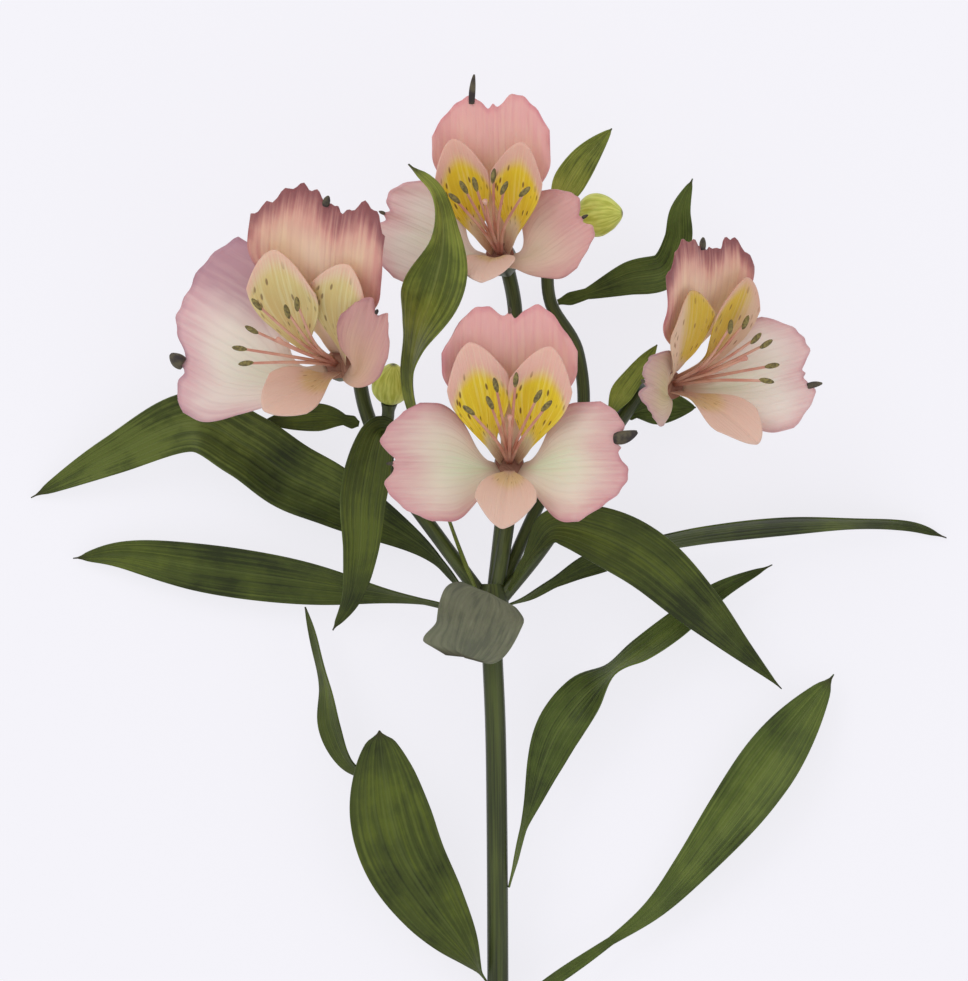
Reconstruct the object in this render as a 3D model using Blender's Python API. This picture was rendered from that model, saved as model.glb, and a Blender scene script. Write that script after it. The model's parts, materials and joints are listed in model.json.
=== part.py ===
# A cut alstroemeria stem lying on a table, seen from above.
# +Y runs along the stalk from the cut end to the flowers, +X is to the right and +Z is up.
# The origin is the middle of the flat spot under the stalk that the stem lies on.
# Sizes below are in millimetres, and MM turns them into metres where a mesh is made.

import math
import random

import bmesh
import bpy
import numpy as np
from mathutils import Matrix, Vector

MM = 0.001

# The stalk: a cut end, a flat spot to lie on, and a swelling where the flower stalks leave it.
CUT_Y = -8.0
FLAT_Y = (-5.0, 30.0)
STALK_RADIUS = 2.6
STALK_TOP_RADIUS = 2.35
STALK_SIDES = 10
SWELLING = (-0.7, 276.0, 15.0)
SWELLING_RADIUS = 4.0
CUT_SLOPE = 0.5
SCAR_YS = (52.0, 97.0, 141.0)

# The flower stalks (rays) and the seed pod (ovary) under each flower.
RAY_RADIUS = 1.7
RAY_SIDES = 7
POD_LENGTH = 9.0
POD_RADIUS = 3.6
POD_TOP_RADIUS = 3.3

# Blades of leaves and petals, and the gap left where two pieces touch.
LEAF_THICKNESS = 0.7
PETAL_THICKNESS = 0.62
GAP = 0.3
LEAF_FOLD = 0.22
LEAF_WAVE = 0.5
LEAF_ACROSS = 4
LEAF_ALONG = 13
OUTER_ACROSS = 6
OUTER_ALONG = 8
INNER_ACROSS = 4
INNER_ALONG = 8

# Where the petals start, measured from the flower's axis.
OUTER_ROOT = 2.9
INNER_ROOT = 1.75
CLAW_HALF_WIDTH = 1.15

# Stamens: threads with a pollen head each, and the style.
THREADS = 6
THREAD_SPREAD = 21.0
THREAD_RADIUS = 0.5
HEAD_LENGTH = 3.6
HEAD_RADIUS = 0.75

UP = Vector((0.0, 0.0, 1.0))


def clear_scene():
    """Remove whatever the scene holds before the stem is made."""
    for thing in list(bpy.data.objects):
        bpy.data.objects.remove(thing, do_unlink=True)


def make_material(name, colour, roughness):
    """A plain Principled material; the colour is linear red, green and blue."""
    made = bpy.data.materials.new(name)
    made.use_nodes = True
    shader = made.node_tree.nodes["Principled BSDF"]
    shader.inputs["Base Color"].default_value = (*colour, 1.0)
    shader.inputs["Roughness"].default_value = roughness
    shader.inputs["Metallic"].default_value = 0.0
    return made


def make_object(name, points, faces, material):
    """An object from points in millimetres; its faces are turned outwards and shaded smooth."""
    mesh = bpy.data.meshes.new(name)
    mesh.from_pydata([tuple(float(c) * MM for c in point) for point in points], [], faces)
    mesh.materials.append(material)
    shape = bmesh.new()
    shape.from_mesh(mesh)
    bmesh.ops.recalc_face_normals(shape, faces=shape.faces)
    shape.to_mesh(mesh)
    shape.free()
    mesh.shade_smooth()
    mesh.set_sharp_from_angle(angle=math.radians(40.0))
    made = bpy.data.objects.new(name, mesh)
    bpy.context.collection.objects.link(made)
    return made


def smooth_path(knots, count):
    """Points at even distances on a smooth curve through the knots; a knot's later values follow along."""
    knots = np.array(knots, dtype=float)
    first = 2.0 * knots[0] - knots[1]
    last = 2.0 * knots[-1] - knots[-2]
    padded = np.vstack([first, knots, last])
    fine = []
    for a, b, c, d in zip(padded, padded[1:], padded[2:], padded[3:]):
        for t in np.linspace(0.0, 1.0, 16, endpoint=False):
            bend = (2.0 * a - 5.0 * b + 4.0 * c - d) * t * t + (3.0 * b - a - 3.0 * c + d) * t ** 3
            fine.append(0.5 * (2.0 * b + (c - a) * t + bend))
    fine.append(knots[-1])
    fine = np.array(fine)
    steps = np.linalg.norm(np.diff(fine[:, :3], axis=0), axis=1)
    travelled = np.concatenate([[0.0], np.cumsum(steps)])
    stops = np.linspace(0.0, travelled[-1], count)
    return np.column_stack([np.interp(stops, travelled, fine[:, k]) for k in range(fine.shape[1])])


def smoothstep(value, low, high):
    """0 below low, 1 above high, and a smooth rise between."""
    t = min(max((value - low) / (high - low), 0.0), 1.0)
    return t * t * (3.0 - 2.0 * t)


def make_blade(name, surface, across, along, thickness, material):
    """A thin blade: surface(u, v) gives the middle layer, u from -1 to 1 across and v from 0 to 1 along.

    The cells are cut into triangles before the sheet is thickened, so both faces are cut alike.
    """
    points = []
    for row in range(along + 1):
        for column in range(across + 1):
            points.append(surface(2.0 * column / across - 1.0, row / along))
    faces = []
    for row in range(along):
        for column in range(across):
            a = row * (across + 1) + column
            b = a + 1
            c = a + across + 1
            d = c + 1
            if column < across // 2:
                faces += [(a, b, c), (b, d, c)]
            else:
                faces += [(a, b, d), (a, d, c)]
    blade = make_object(name, points, faces, material)
    thicken = blade.modifiers.new("thickness", "SOLIDIFY")
    thicken.thickness = thickness * MM
    thicken.offset = 0.0
    thicken.use_even_offset = False
    return blade


def leaf_half_width(v, width, petiole, widest, taper, point):
    """Half the width of a lance-shaped leaf at v; a low taper or point gives a broad foot or a blunt tip."""
    if v < widest:
        shape = math.sin(0.5 * math.pi * v / widest) ** taper
    else:
        shape = math.sin(0.5 * math.pi * (1.0 - v) / (1.0 - widest)) ** point
    stalk = petiole * (1.0 - smoothstep(v, 0.0, 0.5))
    tip = 0.4 * smoothstep(v, 0.5, 1.0)
    return max(0.5 * width * shape, stalk + tip)


def make_leaf(name, width, knots, material, petiole=1.6, widest=0.45, taper=1.5, point=0.85):
    """A leaf along knots of x, y, z and roll in degrees; roll 0 lies flat and 90 stands on edge."""
    rows = smooth_path(knots, LEAF_ALONG + 1)
    tangents = np.gradient(rows[:, :3], axis=0)

    def surface(u, v):
        row = round(v * LEAF_ALONG)
        along = Vector(tangents[row]).normalized()
        normal = (UP - along * UP.dot(along)).normalized()
        side = along.cross(normal)
        roll = math.radians(rows[row, 3])
        rolled_side = side * math.cos(roll) + normal * math.sin(roll)
        rolled_normal = normal * math.cos(roll) - side * math.sin(roll)
        half = leaf_half_width(v, width, petiole, widest, taper, point)
        lift = LEAF_FOLD * half * abs(u) ** 1.4
        lift += LEAF_WAVE * u * abs(u) * math.sin(4.0 * math.pi * v) * min(half / 4.0, 1.0)
        return Vector(rows[row, :3]) + rolled_side * (u * half) + rolled_normal * lift

    return make_blade(name, surface, LEAF_ACROSS, LEAF_ALONG, LEAF_THICKNESS, material)


def tube_mesh(path, radii, sides):
    """Points and faces of a closed round tube; its first side lies flat below when it runs level."""
    path = [Vector(point[:3]) for point in path]
    points = []
    normal = None
    for index, centre in enumerate(path):
        before = path[max(index - 1, 0)]
        after = path[min(index + 1, len(path) - 1)]
        along = (after - before).normalized()
        if normal is None:
            guide = UP if abs(along.dot(UP)) < 0.9 else Vector((0.0, 1.0, 0.0))
            normal = -(guide - along * guide.dot(along)).normalized()
        else:
            normal = (normal - along * normal.dot(along)).normalized()
        side = along.cross(normal)
        for step in range(sides):
            angle = 2.0 * math.pi * (step + 0.5) / sides
            points.append(centre + (normal * math.cos(angle) + side * math.sin(angle)) * radii[index])
    faces = []
    for ring in range(len(path) - 1):
        for step in range(sides):
            a = ring * sides + step
            b = ring * sides + (step + 1) % sides
            faces.append((a, b, b + sides, a + sides))
    faces.append(tuple(range(sides)))
    last = (len(path) - 1) * sides
    faces.append(tuple(range(last, last + sides)))
    return points, faces


def make_tube(name, path, radii, sides, material):
    """A closed round tube as an object."""
    points, faces = tube_mesh(path, radii, sides)
    return make_object(name, points, faces, material)


def make_fused(name, shapes, material):
    """One closed body from overlapping shapes, by a Boolean union on their collection."""
    body = shapes[0]
    group = bpy.data.collections.new(name + "_parts")
    bpy.context.scene.collection.children.link(group)
    for shape in shapes[1:]:
        bpy.context.collection.objects.unlink(shape)
        group.objects.link(shape)
    union = body.modifiers.new("union", "BOOLEAN")
    union.operation = "UNION"
    union.operand_type = "COLLECTION"
    union.collection = group
    union.solver = "EXACT"
    bpy.context.view_layer.objects.active = body
    bpy.ops.object.modifier_apply(modifier=union.name)
    for shape in list(group.objects):
        bpy.data.objects.remove(shape, do_unlink=True)
    bpy.data.collections.remove(group)
    body.name = name
    body.data.name = name
    body.data.materials.clear()
    body.data.materials.append(material)
    return body


# A petal: its whorl, the angle where it starts and where its blade points (0 is up the flower, 90 to
# its right), its lean from the axis at the root and at the tip, its length and its width.
OUTER = "outer"
INNER = "inner"
PETALS = {
    "outer_top": (OUTER, 0, 0, 20, 66, 44, 31),
    "outer_left": (OUTER, -120, -95, 15, 84, 40, 28),
    "outer_right": (OUTER, 120, 95, 15, 84, 39, 28),
    "inner_left": (INNER, -60, -19, 17, 53, 40, 12.5),
    "inner_right": (INNER, 60, 19, 17, 53, 40, 12.5),
    "inner_low": (INNER, 180, 186, 10, 60, 35, 14),
}

# Each flower: where its petals start, the way that it looks out, which way is up on it, its size, and
# the petals in which it differs from the list above.
FLOWERS = {
    "front": {"base": (3.3, 309.9, 25.0), "axis": (0.0, 0.21, 0.98), "up": (0.0, 1.0, 0.0), "size": 1.0,
              "seed": 11,
              "petals": {"outer_right": (OUTER, 120, 94, 15, 84, 36.5, 28),
                         "inner_left": (INNER, -60, -14, 17, 56, 39, 14.5),
                         "inner_right": (INNER, 60, 15, 17, 51, 39, 14.5)}},
    "top": {"base": (1.2, 358.6, 19.0), "axis": (-0.14, 0.26, 0.955), "up": (0.0, 1.0, 0.0), "size": 0.95,
            "seed": 23,
            "petals": {"outer_top": (OUTER, 0, 3, 20, 67, 44, 29),
                       "outer_left": (OUTER, -120, -72, 20, 84, 37, 26),
                       "outer_right": (OUTER, 120, 64, 31, 73, 31.5, 22),
                       "inner_left": (INNER, -60, -12, 17, 53, 37, 13),
                       "inner_right": (INNER, 60, 16, 17, 49, 37, 13),
                       "inner_low": (INNER, 180, 180, 6, 46, 32, 14)}},
    "left": {"base": (-36.5, 333.0, 22.0), "axis": (-0.3, 0.05, 0.95), "up": (0.05, 1.0, 0.0), "size": 1.1,
             "seed": 37, "stamen_turn": -50,
             "petals": {"outer_top": (OUTER, 0, 17, 17, 66, 52, 31),
                        "outer_left": (OUTER, -120, -63, 38, 90, 36.5, 32.5),
                        "outer_right": (OUTER, 120, 41, 26, 46, 42, 13.5),
                        "inner_low": (INNER, 180, 225, 8, 54, 26, 12),
                        "inner_left": (INNER, -60, 1, 15, 52, 40, 15.5),
                        "inner_right": (INNER, 60, 27, 16, 50, 40, 15)}},
    "right": {"base": (41.2, 328.4, 22.0), "axis": (0.5, 0.1, 0.86), "up": (-0.22, 1.0, 0.0),
              "size": 0.95, "seed": 41, "stamen_turn": 60,
              "petals": {"outer_top": (OUTER, 0, -12, 20, 62, 49, 28),
                         "outer_left": (OUTER, -120, -68, 26, 68, 28, 18),
                         "outer_right": (OUTER, 120, 86, 15, 78, 35.5, 28),
                         "inner_left": (INNER, -60, -17, 17, 52, 40, 13.5),
                         "inner_right": (INNER, 60, 4, 17, 50, 40, 13),
                         "inner_low": (INNER, 180, 166, 10, 56, 32, 13)}},
}

# Petals whose end has a form of its own: where it is notched, how far its corners fall back, how much
# higher its right corner stands, and how far its right side bulges in mm.
ENDS = {
    ("left", "outer_left"): (-0.45, 0.2, 0.1, 6.0),
    ("left", "outer_top"): (0.22, 0.17, 0.08, 0.0),
    ("top", "outer_left"): (0.1, 0.28, 0.0, 0.0),
    ("front", "outer_right"): (-0.25, 0.26, -0.05, 0.0),
    ("right", "outer_right"): (0.15, 0.28, 0.0, 0.0),
    ("right", "outer_top"): (0.1, 0.2, -0.08, 0.0),
    ("top", "outer_top"): (0.0, 0.24, 0.03, 0.0),
}
PLAIN_END = (0.0, 0.28, 0.0, 0.0)


def outer_half_width(t, width):
    """An outer petal: a narrow claw that opens into a broad round blade."""
    claw = 1.9 + 1.2 * t
    return claw + (0.5 * width - claw) * smoothstep(t, 0.12, 0.62)


def inner_half_width(t, width):
    """An inner petal: a long claw and a spoon-shaped blade."""
    claw = CLAW_HALF_WIDTH + 1.0 * t
    return claw + (0.5 * width - claw) * smoothstep(t, 0.2, 0.72)


def petal_line(whorl, root_angle, blade_angle, root_lean, tip_lean, length, steps=64):
    """The middle line of a petal in the flower's frame, with its directions at each step."""
    root = OUTER_ROOT if whorl == OUTER else INNER_ROOT
    place = Vector((math.sin(math.radians(root_angle)), math.cos(math.radians(root_angle)), 0.0)) * root
    place.z = GAP
    line = []
    for step in range(steps + 1):
        t = step / steps
        angle = math.radians(root_angle + (blade_angle - root_angle) * smoothstep(t, 0.0, 0.45))
        lean = math.radians(root_lean + (tip_lean - root_lean) * t)
        outward = Vector((math.sin(angle), math.cos(angle), 0.0))
        along = outward * math.sin(lean) + UP * math.cos(lean)
        side = Vector((math.cos(angle), -math.sin(angle), 0.0))
        line.append((place.copy(), along, side))
        place = place + along * (length / steps)
    return line


def make_petal(name, spec, size, rng, form, material):
    """A petal in its flower's frame; form is a row of ENDS."""
    whorl, root_angle, blade_angle, root_lean, tip_lean, length, width = spec
    length = length * size
    width = width * size
    notch, fall, skew, bulge = form
    line = petal_line(whorl, root_angle, blade_angle, root_lean, tip_lean, length)
    phase = rng.uniform(0.0, 2.0 * math.pi)

    def surface(u, v):
        if whorl == OUTER:
            end = 1.0 - fall * abs(u) ** 2.5 + skew * u
            end -= 0.12 * math.exp(-(((u - notch) / 0.26) ** 2))
        else:
            end = 1.0 - 0.25 * abs(u) ** 1.8
        t = v * end
        exact = t * (len(line) - 1)
        index = min(int(exact), len(line) - 2)
        part = exact - index
        place = line[index][0].lerp(line[index + 1][0], part)
        along = line[index][1].lerp(line[index + 1][1], part)
        side = line[index][2].lerp(line[index + 1][2], part)
        normal = side.cross(along)
        if whorl == OUTER:
            half = outer_half_width(t, width)
            bowl = 1.8 * smoothstep(t, 0.2, 0.7)
        else:
            half = inner_half_width(t, width)
            bowl = 1.2 * smoothstep(t, 0.1, 0.6)
        lift = bowl * u * u
        lift += 0.6 * abs(u) ** 3 * smoothstep(t, 0.4, 0.8) * math.sin(9.0 * t + phase + u)
        bulged = u * half + bulge * smoothstep(u, 0.1, 1.0) * smoothstep(t, 0.4, 0.75)
        return place + side * bulged + normal * lift

    across = OUTER_ACROSS if whorl == OUTER else INNER_ACROSS
    along_count = OUTER_ALONG if whorl == OUTER else INNER_ALONG
    return make_blade(name, surface, across, along_count, PETAL_THICKNESS, material)


def make_stamens(name, size, rng, middle_turn, material):
    """Six threads with pollen heads and the style, fused at their foot, spread round one direction."""
    foot_top = GAP + 2.2
    foot = make_tube(name + "_foot", [(0.0, 0.0, GAP), (0.0, 0.0, foot_top)], [1.0, 0.8], 6, material)
    shapes = [foot]
    for index in range(THREADS + 1):
        is_style = index == THREADS
        turn = 0.0 if is_style else (index - 0.5 * (THREADS - 1)) * THREAD_SPREAD + rng.uniform(-5.0, 5.0)
        reach = (5.0 if is_style else rng.uniform(9.0, 13.5)) * size
        height = (28.0 if is_style else rng.uniform(27.0, 29.0)) * size
        angle = math.radians(turn + middle_turn)
        outward = Vector((math.sin(angle), math.cos(angle), 0.0))
        root = outward * 0.35 + UP * (GAP + 1.0)
        middle = outward * (reach * 0.32) + UP * (height * 0.55)
        end = outward * reach + UP * height
        path = smooth_path([root, middle, end], 6)
        radii = [THREAD_RADIUS] * 5 + [0.42]
        shapes.append(make_tube(name + "_thread", path, radii, 4, material))
        if is_style:
            continue
        lean = (outward + UP * 0.4).normalized()
        head = [end - lean * 0.5 * HEAD_LENGTH, end - lean * 0.25 * HEAD_LENGTH,
                end + lean * 0.3 * HEAD_LENGTH, end + lean * 0.5 * HEAD_LENGTH]
        sizes = [0.35, HEAD_RADIUS, HEAD_RADIUS, 0.35]
        shapes.append(make_tube(name + "_head", head, sizes, 5, material))
    return make_fused(name, shapes, material)


def flower_frame(spec):
    """The matrix of a flower's frame: +Z along its axis and +Y up the picture."""
    axis = Vector(spec["axis"]).normalized()
    guide = Vector(spec["up"])
    up = (guide - axis * guide.dot(axis)).normalized()
    right = up.cross(axis)
    turn = Matrix((right, up, axis)).transposed().to_4x4()
    return Matrix.Translation(Vector(spec["base"]) * MM) @ turn


def make_flower(key, spec, outer_material, inner_material, stamen_material):
    """Six petals and the stamens, parented to an empty at the flower's base."""
    empty = bpy.data.objects.new("flower_" + key, None)
    bpy.context.collection.objects.link(empty)
    empty.matrix_world = flower_frame(spec)
    rng = random.Random(spec["seed"])
    for petal, values in PETALS.items():
        values = spec["petals"].get(petal, values)
        material = outer_material if values[0] == OUTER else inner_material
        form = ENDS.get((key, petal), PLAIN_END)
        piece = make_petal(key + "_" + petal, values, spec["size"], rng, form, material)
        piece.parent = empty
    turn = spec.get("stamen_turn", 0.0)
    stamens = make_stamens(key + "_stamens", spec["size"], rng, turn, stamen_material)
    stamens.parent = empty


def pod_path(key):
    """The ray's last points and the seed pod's, with their radii, up to a flower's base."""
    base = Vector(FLOWERS[key]["base"])
    axis = Vector(FLOWERS[key]["axis"]).normalized()
    below = [14.0, POD_LENGTH, 7.6, 5.2, 2.4, 0.0]
    radii = [RAY_RADIUS, RAY_RADIUS + 0.2, 3.0, POD_RADIUS, POD_RADIUS, POD_TOP_RADIUS]
    return [base - axis * distance for distance in below], radii


RAYS = {
    "front": [SWELLING, (1.5, 287.0, 14.0), (3.2, 299.0, 11.0)],
    "top": [SWELLING, (2.0, 300.0, 10.0), (4.5, 328.0, 8.0), (4.8, 345.0, 7.0)],
    "left": [SWELLING, (-12.8, 292.3, 14.0), (-24.0, 308.0, 12.0), (-30.0, 322.0, 10.0)],
    "right": [SWELLING, (12.3, 292.3, 14.0), (24.0, 312.0, 12.0), (30.5, 322.0, 10.6)],
}


def make_ray(key, material):
    """A flower stalk from inside the swelling up to the top of its seed pod."""
    pod, pod_radii = pod_path(key)
    stalk = smooth_path([*RAYS[key], tuple(pod[0])], 8)[:-1]
    path = [*stalk, *pod]
    radii = [RAY_RADIUS] * len(stalk) + pod_radii
    return make_tube("ray_" + key, path, radii, RAY_SIDES, material)


BUDS = {
    "bud_right": {"base": (19.3, 367.6, 16.0), "axis": (0.97, 0.08, 0.22), "length": 10.8, "radius": 5.0},
    "bud_left": {"base": (-24.6, 324.6, 17.0), "axis": (0.1, 0.85, 0.5), "length": 10.0, "radius": 4.4},
}
BUD_STALKS = {
    "bud_right": [SWELLING, (10.0, 300.0, 7.0), (20.0, 318.0, 6.0), (19.5, 336.0, 7.5), (13.0, 348.0, 9.0),
                  (12.6, 360.0, 12.0)],
    "bud_left": [(-24.0, 308.0, 12.0), (-26.2, 314.0, 13.5)],
}


def make_bud_stalk(key, material):
    """The stalk that carries a bud, ending just short of it."""
    spec = BUDS[key]
    axis = Vector(spec["axis"]).normalized()
    base = Vector(spec["base"])
    knots = [*BUD_STALKS[key], tuple(base - axis * 5.0)]
    path = [tuple(point) for point in smooth_path(knots, 12 if key == "bud_right" else 4)]
    path += [tuple(base - axis * 2.5), tuple(base - axis * GAP)]
    radii = [RAY_RADIUS - 0.2] * (len(path) - 1) + [RAY_RADIUS + 0.3]
    return make_tube("stalk_" + key, path, radii, RAY_SIDES, material)


def make_bud(key, material):
    """A closed bud: an egg with three soft ridges where its outer petals meet."""
    spec = BUDS[key]
    axis = Vector(spec["axis"]).normalized()
    base = Vector(spec["base"])
    guide = UP if abs(axis.dot(UP)) < 0.9 else Vector((0.0, 1.0, 0.0))
    first = (guide - axis * guide.dot(axis)).normalized()
    second = axis.cross(first)
    sides = 12
    profile = [(0.0, 0.42), (0.1, 0.72), (0.28, 0.97), (0.5, 1.0), (0.72, 0.8), (0.88, 0.48), (0.97, 0.22)]
    points = []
    for along, width in profile:
        for step in range(sides):
            angle = 2.0 * math.pi * step / sides
            ridge = 1.0 - 0.08 * math.cos(3.0 * angle) * math.sin(math.pi * along)
            reach = spec["radius"] * width * ridge
            flat = first * math.cos(angle) + second * math.sin(angle)
            points.append(base + axis * (spec["length"] * along) + flat * reach)
    tip = len(points)
    points.append(base + axis * spec["length"])
    faces = [tuple(range(sides))]
    for ring in range(len(profile) - 1):
        for step in range(sides):
            a = ring * sides + step
            b = ring * sides + (step + 1) % sides
            faces.append((a, b, b + sides, a + sides))
    last = (len(profile) - 1) * sides
    for step in range(sides):
        faces.append((last + step, last + (step + 1) % sides, tip))
    return make_object(key, points, faces, material)


def make_stalk(material):
    """The main stalk: a sloping cut, a level stretch with a flat under it, and a slow rise."""
    level = STALK_RADIUS * math.cos(math.pi / STALK_SIDES)
    ys = [CUT_Y, FLAT_Y[0], FLAT_Y[1]]
    path = [Vector((0.0, y, level)) for y in ys]
    radii = [STALK_RADIUS] * len(ys)
    rise = smooth_path([(0.0, FLAT_Y[1], level), (0.5, 100.0, 5.2), (0.7, 180.0, 9.2), (0.3, 240.0, 12.8),
                        (-0.7, 268.0, 14.6)], 14)[1:]
    for index, point in enumerate(rise):
        path.append(Vector(point))
        radii.append(STALK_RADIUS + (STALK_TOP_RADIUS - STALK_RADIUS) * (index + 1) / len(rise))
    for y, radius in ((271.5, 3.2), (275.0, SWELLING_RADIUS), (279.0, SWELLING_RADIUS - 0.4), (282.0, 2.4)):
        path.append(Vector((-0.7, y, 15.0)))
        radii.append(radius)
    points, faces = tube_mesh(path, radii, STALK_SIDES)
    for index in range(STALK_SIDES):
        points[index].y += CUT_SLOPE * points[index].z
    return make_object("stalk", points, faces, material)


def make_scar(y, material, turn):
    """The low ridge that a stripped leaf leaves on the stalk."""
    level = STALK_RADIUS * math.cos(math.pi / STALK_SIDES)
    angle = math.radians(turn)
    out = Vector((math.sin(angle), 0.0, math.cos(angle)))
    centre = Vector((0.4, y, level + (y - FLAT_Y[1]) * 0.038))
    path = [centre + Vector((0.0, -2.0, 0.0)) + out * 1.3, centre + out * 1.9,
            centre + Vector((0.0, 1.2, 0.0)) + out * 2.1, centre + Vector((0.0, 2.0, 0.0)) + out * 1.2]
    return make_tube("scar", path, [0.7, 1.1, 1.2, 0.7], 6, material)


def make_stem(material):
    """The stalk with its scars, the rays, the pods and the bud stalks, fused into one body."""
    shapes = [make_stalk(material)]
    shapes += [make_scar(y, material, turn) for y, turn in zip(SCAR_YS, (70.0, -60.0, 30.0))]
    shapes += [make_ray(key, material) for key in RAYS]
    shapes += [make_bud_stalk(key, material) for key in BUD_STALKS]
    return make_fused("stem", shapes, material)


# Each leaf: its width, its knots of x, y, z and roll from root to tip, and what differs in its outline.
LEAVES = {
    "leaf_left_upper": (16.0, [(-5.6, 278.6, 12.5, 80), (-16.8, 290.6, 10.0, 30), (-36.5, 301.8, 8.5, 5),
                               (-48.0, 307.3, 9.0, 0), (-58.5, 314.2, 11.0, -10), (-71.0, 319.8, 12.0, 0),
                               (-89.5, 312.3, 6.5, 15), (-109.3, 302.1, 0.4, 0)], {}),
    "leaf_left_lower": (12.5, [(-5.2, 274.5, 15.0, 80), (-12.8, 277.2, 13.0, 60), (-26.7, 279.8, 9.0, 50),
                               (-45.3, 282.7, 7.0, 28), (-68.6, 285.9, 6.0, 15), (-87.2, 288.8, 4.0, 15),
                               (-99.3, 287.8, 1.5, 15)], {"widest": 0.58}),
    "leaf_hanging": (11.0, [(-24.6, 308.6, 16.0, 60), (-24.0, 316.5, 22.0, 40), (-27.5, 316.5, 28.0, 15),
                            (-30.6, 303.0, 28.0, 15), (-31.4, 290.0, 25.0, 25), (-33.5, 279.0, 20.0, 35),
                            (-37.8, 271.2, 16.0, 30)], {}),
    "leaf_stem_left": (19.5, [(-2.5, 189.0, 9.4, 85), (-7.2, 197.0, 11.0, 25), (-14.5, 207.0, 12.0, 5),
                              (-21.0, 217.5, 13.0, 0), (-24.3, 227.5, 14.0, 0), (-26.0, 238.0, 14.5, 0),
                              (-27.0, 247.8, 14.0, 0)],
                       {"widest": 0.62, "taper": 0.75, "point": 0.6}),
    "leaf_stem_right": (11.0, [(3.7, 211.0, 11.0, -85), (5.8, 222.5, 12.0, -70), (8.4, 231.0, 12.0, -45),
                               (11.3, 240.0, 11.5, -20), (15.0, 248.0, 11.0, 0), (21.0, 255.5, 10.0, 30),
                               (27.6, 261.0, 9.4, 72), (34.5, 265.8, 8.6, 50), (42.0, 271.5, 8.0, 36),
                               (52.5, 280.0, 7.0, 25), (65.1, 286.4, 6.0, 15)],
                        {"widest": 0.4, "taper": 2.2}),
    "leaf_right_drooping": (14.0, [(3.6, 281.0, 18.4, 60), (9.0, 290.0, 20.5, 30), (14.0, 295.5, 22.0, 10),
                                   (24.4, 293.5, 23.0, 0), (36.0, 287.2, 22.0, 0), (47.7, 276.6, 18.0, -5),
                                   (57.0, 267.2, 13.0, -10), (67.2, 257.3, 8.0, 0)],
                            {"widest": 0.42, "point": 1.15}),
    "leaf_right_horizontal": (11.0, [(3.1, 277.2, 13.4, -85), (8.0, 279.2, 11.6, -65),
                                     (15.0, 283.0, 9.4, -40), (22.0, 286.6, 8.4, -30),
                                     (33.7, 291.0, 8.0, -60), (47.7, 294.2, 8.0, -66),
                                     (66.3, 296.2, 6.5, -71), (84.9, 296.6, 4.5, -66),
                                     (97.5, 295.6, 2.5, -45), (106.4, 292.6, 0.4, -10)], {}),
    "leaf_lower_right": (14.0, [(4.0, 183.0, 9.5, -85), (13.8, 189.3, 8.0, -40), (25.4, 196.8, 6.0, 0),
                                (37.3, 205.3, 5.0, 25), (46.3, 215.1, 5.5, 25), (55.8, 227.4, 6.5, 15),
                                (62.9, 237.4, 7.0, 10), (70.5, 248.1, 6.0, 10), (79.7, 260.6, 4.0, 0)],
                         {"petiole": 2.0, "widest": 0.74, "taper": 3.0}),
    "leaf_upper_front": (14.0, [(-4.4, 281.0, 18.0, 70), (-10.5, 297.0, 18.0, 75), (-16.5, 316.0, 24.0, 78),
                                (-19.2, 328.0, 34.0, 76), (-17.8, 338.5, 42.0, 60), (-14.2, 349.5, 48.0, 5),
                                (-12.0, 361.0, 50.0, -50), (-13.6, 371.5, 49.0, -58),
                                (-19.8, 378.3, 48.0, -45)],
                         {"widest": 0.7, "taper": 2.7}),
    "leaf_upper_right": (9.0, [(15.2, 348.0, 10.7, 0), (22.0, 350.0, 12.0, 0), (31.4, 353.2, 12.0, 10),
                               (39.8, 355.0, 13.0, 20), (43.0, 362.0, 15.0, 30), (43.4, 369.0, 16.0, 20),
                               (46.0, 376.5, 17.0, 20)], {"widest": 0.5}),
    "leaf_short": (20.0, [(-1.5, 279.5, 20.0, 0), (-3.0, 276.0, 22.0, 0), (-5.0, 270.5, 25.0, 0),
                          (-7.2, 265.2, 26.0, 0)],
                   {"petiole": 2.0, "widest": 0.3, "taper": 0.35, "point": 0.2}),
    "bract_top": (7.5, [(12.9, 366.0, 16.3, 20), (16.0, 373.0, 18.0, 10), (20.5, 380.5, 19.0, 0),
                        (27.2, 388.0, 20.0, 0)], {}),
    "bract_right": (8.0, [(31.0, 321.6, 8.0, 0), (38.0, 323.3, 6.2, 0), (47.2, 323.3, 6.0, 0)], {}),
    "bract_right_upper": (6.0, [(25.6, 318.6, 13.0, 70), (29.2, 325.4, 14.0, 40), (33.3, 331.2, 15.0, 25),
                                (37.8, 337.8, 16.0, 10)], {}),
    "bract_left": (6.5, [(-32.3, 319.5, 9.0, 0), (-40.0, 321.0, 8.0, 0), (-54.4, 320.0, 7.0, 0)], {}),
}

# The narrow end of a leaf that is folded back under its own blade.
FOLDED_ENDS = {
    "leaf_stem_left": (7.0, [(-29.0, 236.5, 13.3, 50), (-34.6, 240.4, 12.0, 45), (-38.2, 248.5, 10.5, 50),
                             (-39.4, 258.0, 9.0, 60), (-42.0, 268.0, 6.8, 65), (-44.6, 276.4, 4.2, 50)],
                       {"widest": 0.35, "taper": 0.8}),
}


def make_whole_leaf(name, material):
    """A leaf; where its end is folded back, the end is a second blade fused to the first."""
    width, knots, options = LEAVES[name]
    blade = make_leaf(name, width, knots, material, **options)
    if name not in FOLDED_ENDS:
        return blade
    width, knots, options = FOLDED_ENDS[name]
    end = make_leaf(name + "_end", width, knots, material, **options)
    for piece in (blade, end):
        bpy.context.view_layer.objects.active = piece
        bpy.ops.object.modifier_apply(modifier="thickness")
    return make_fused(name, [blade, end], material)


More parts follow.
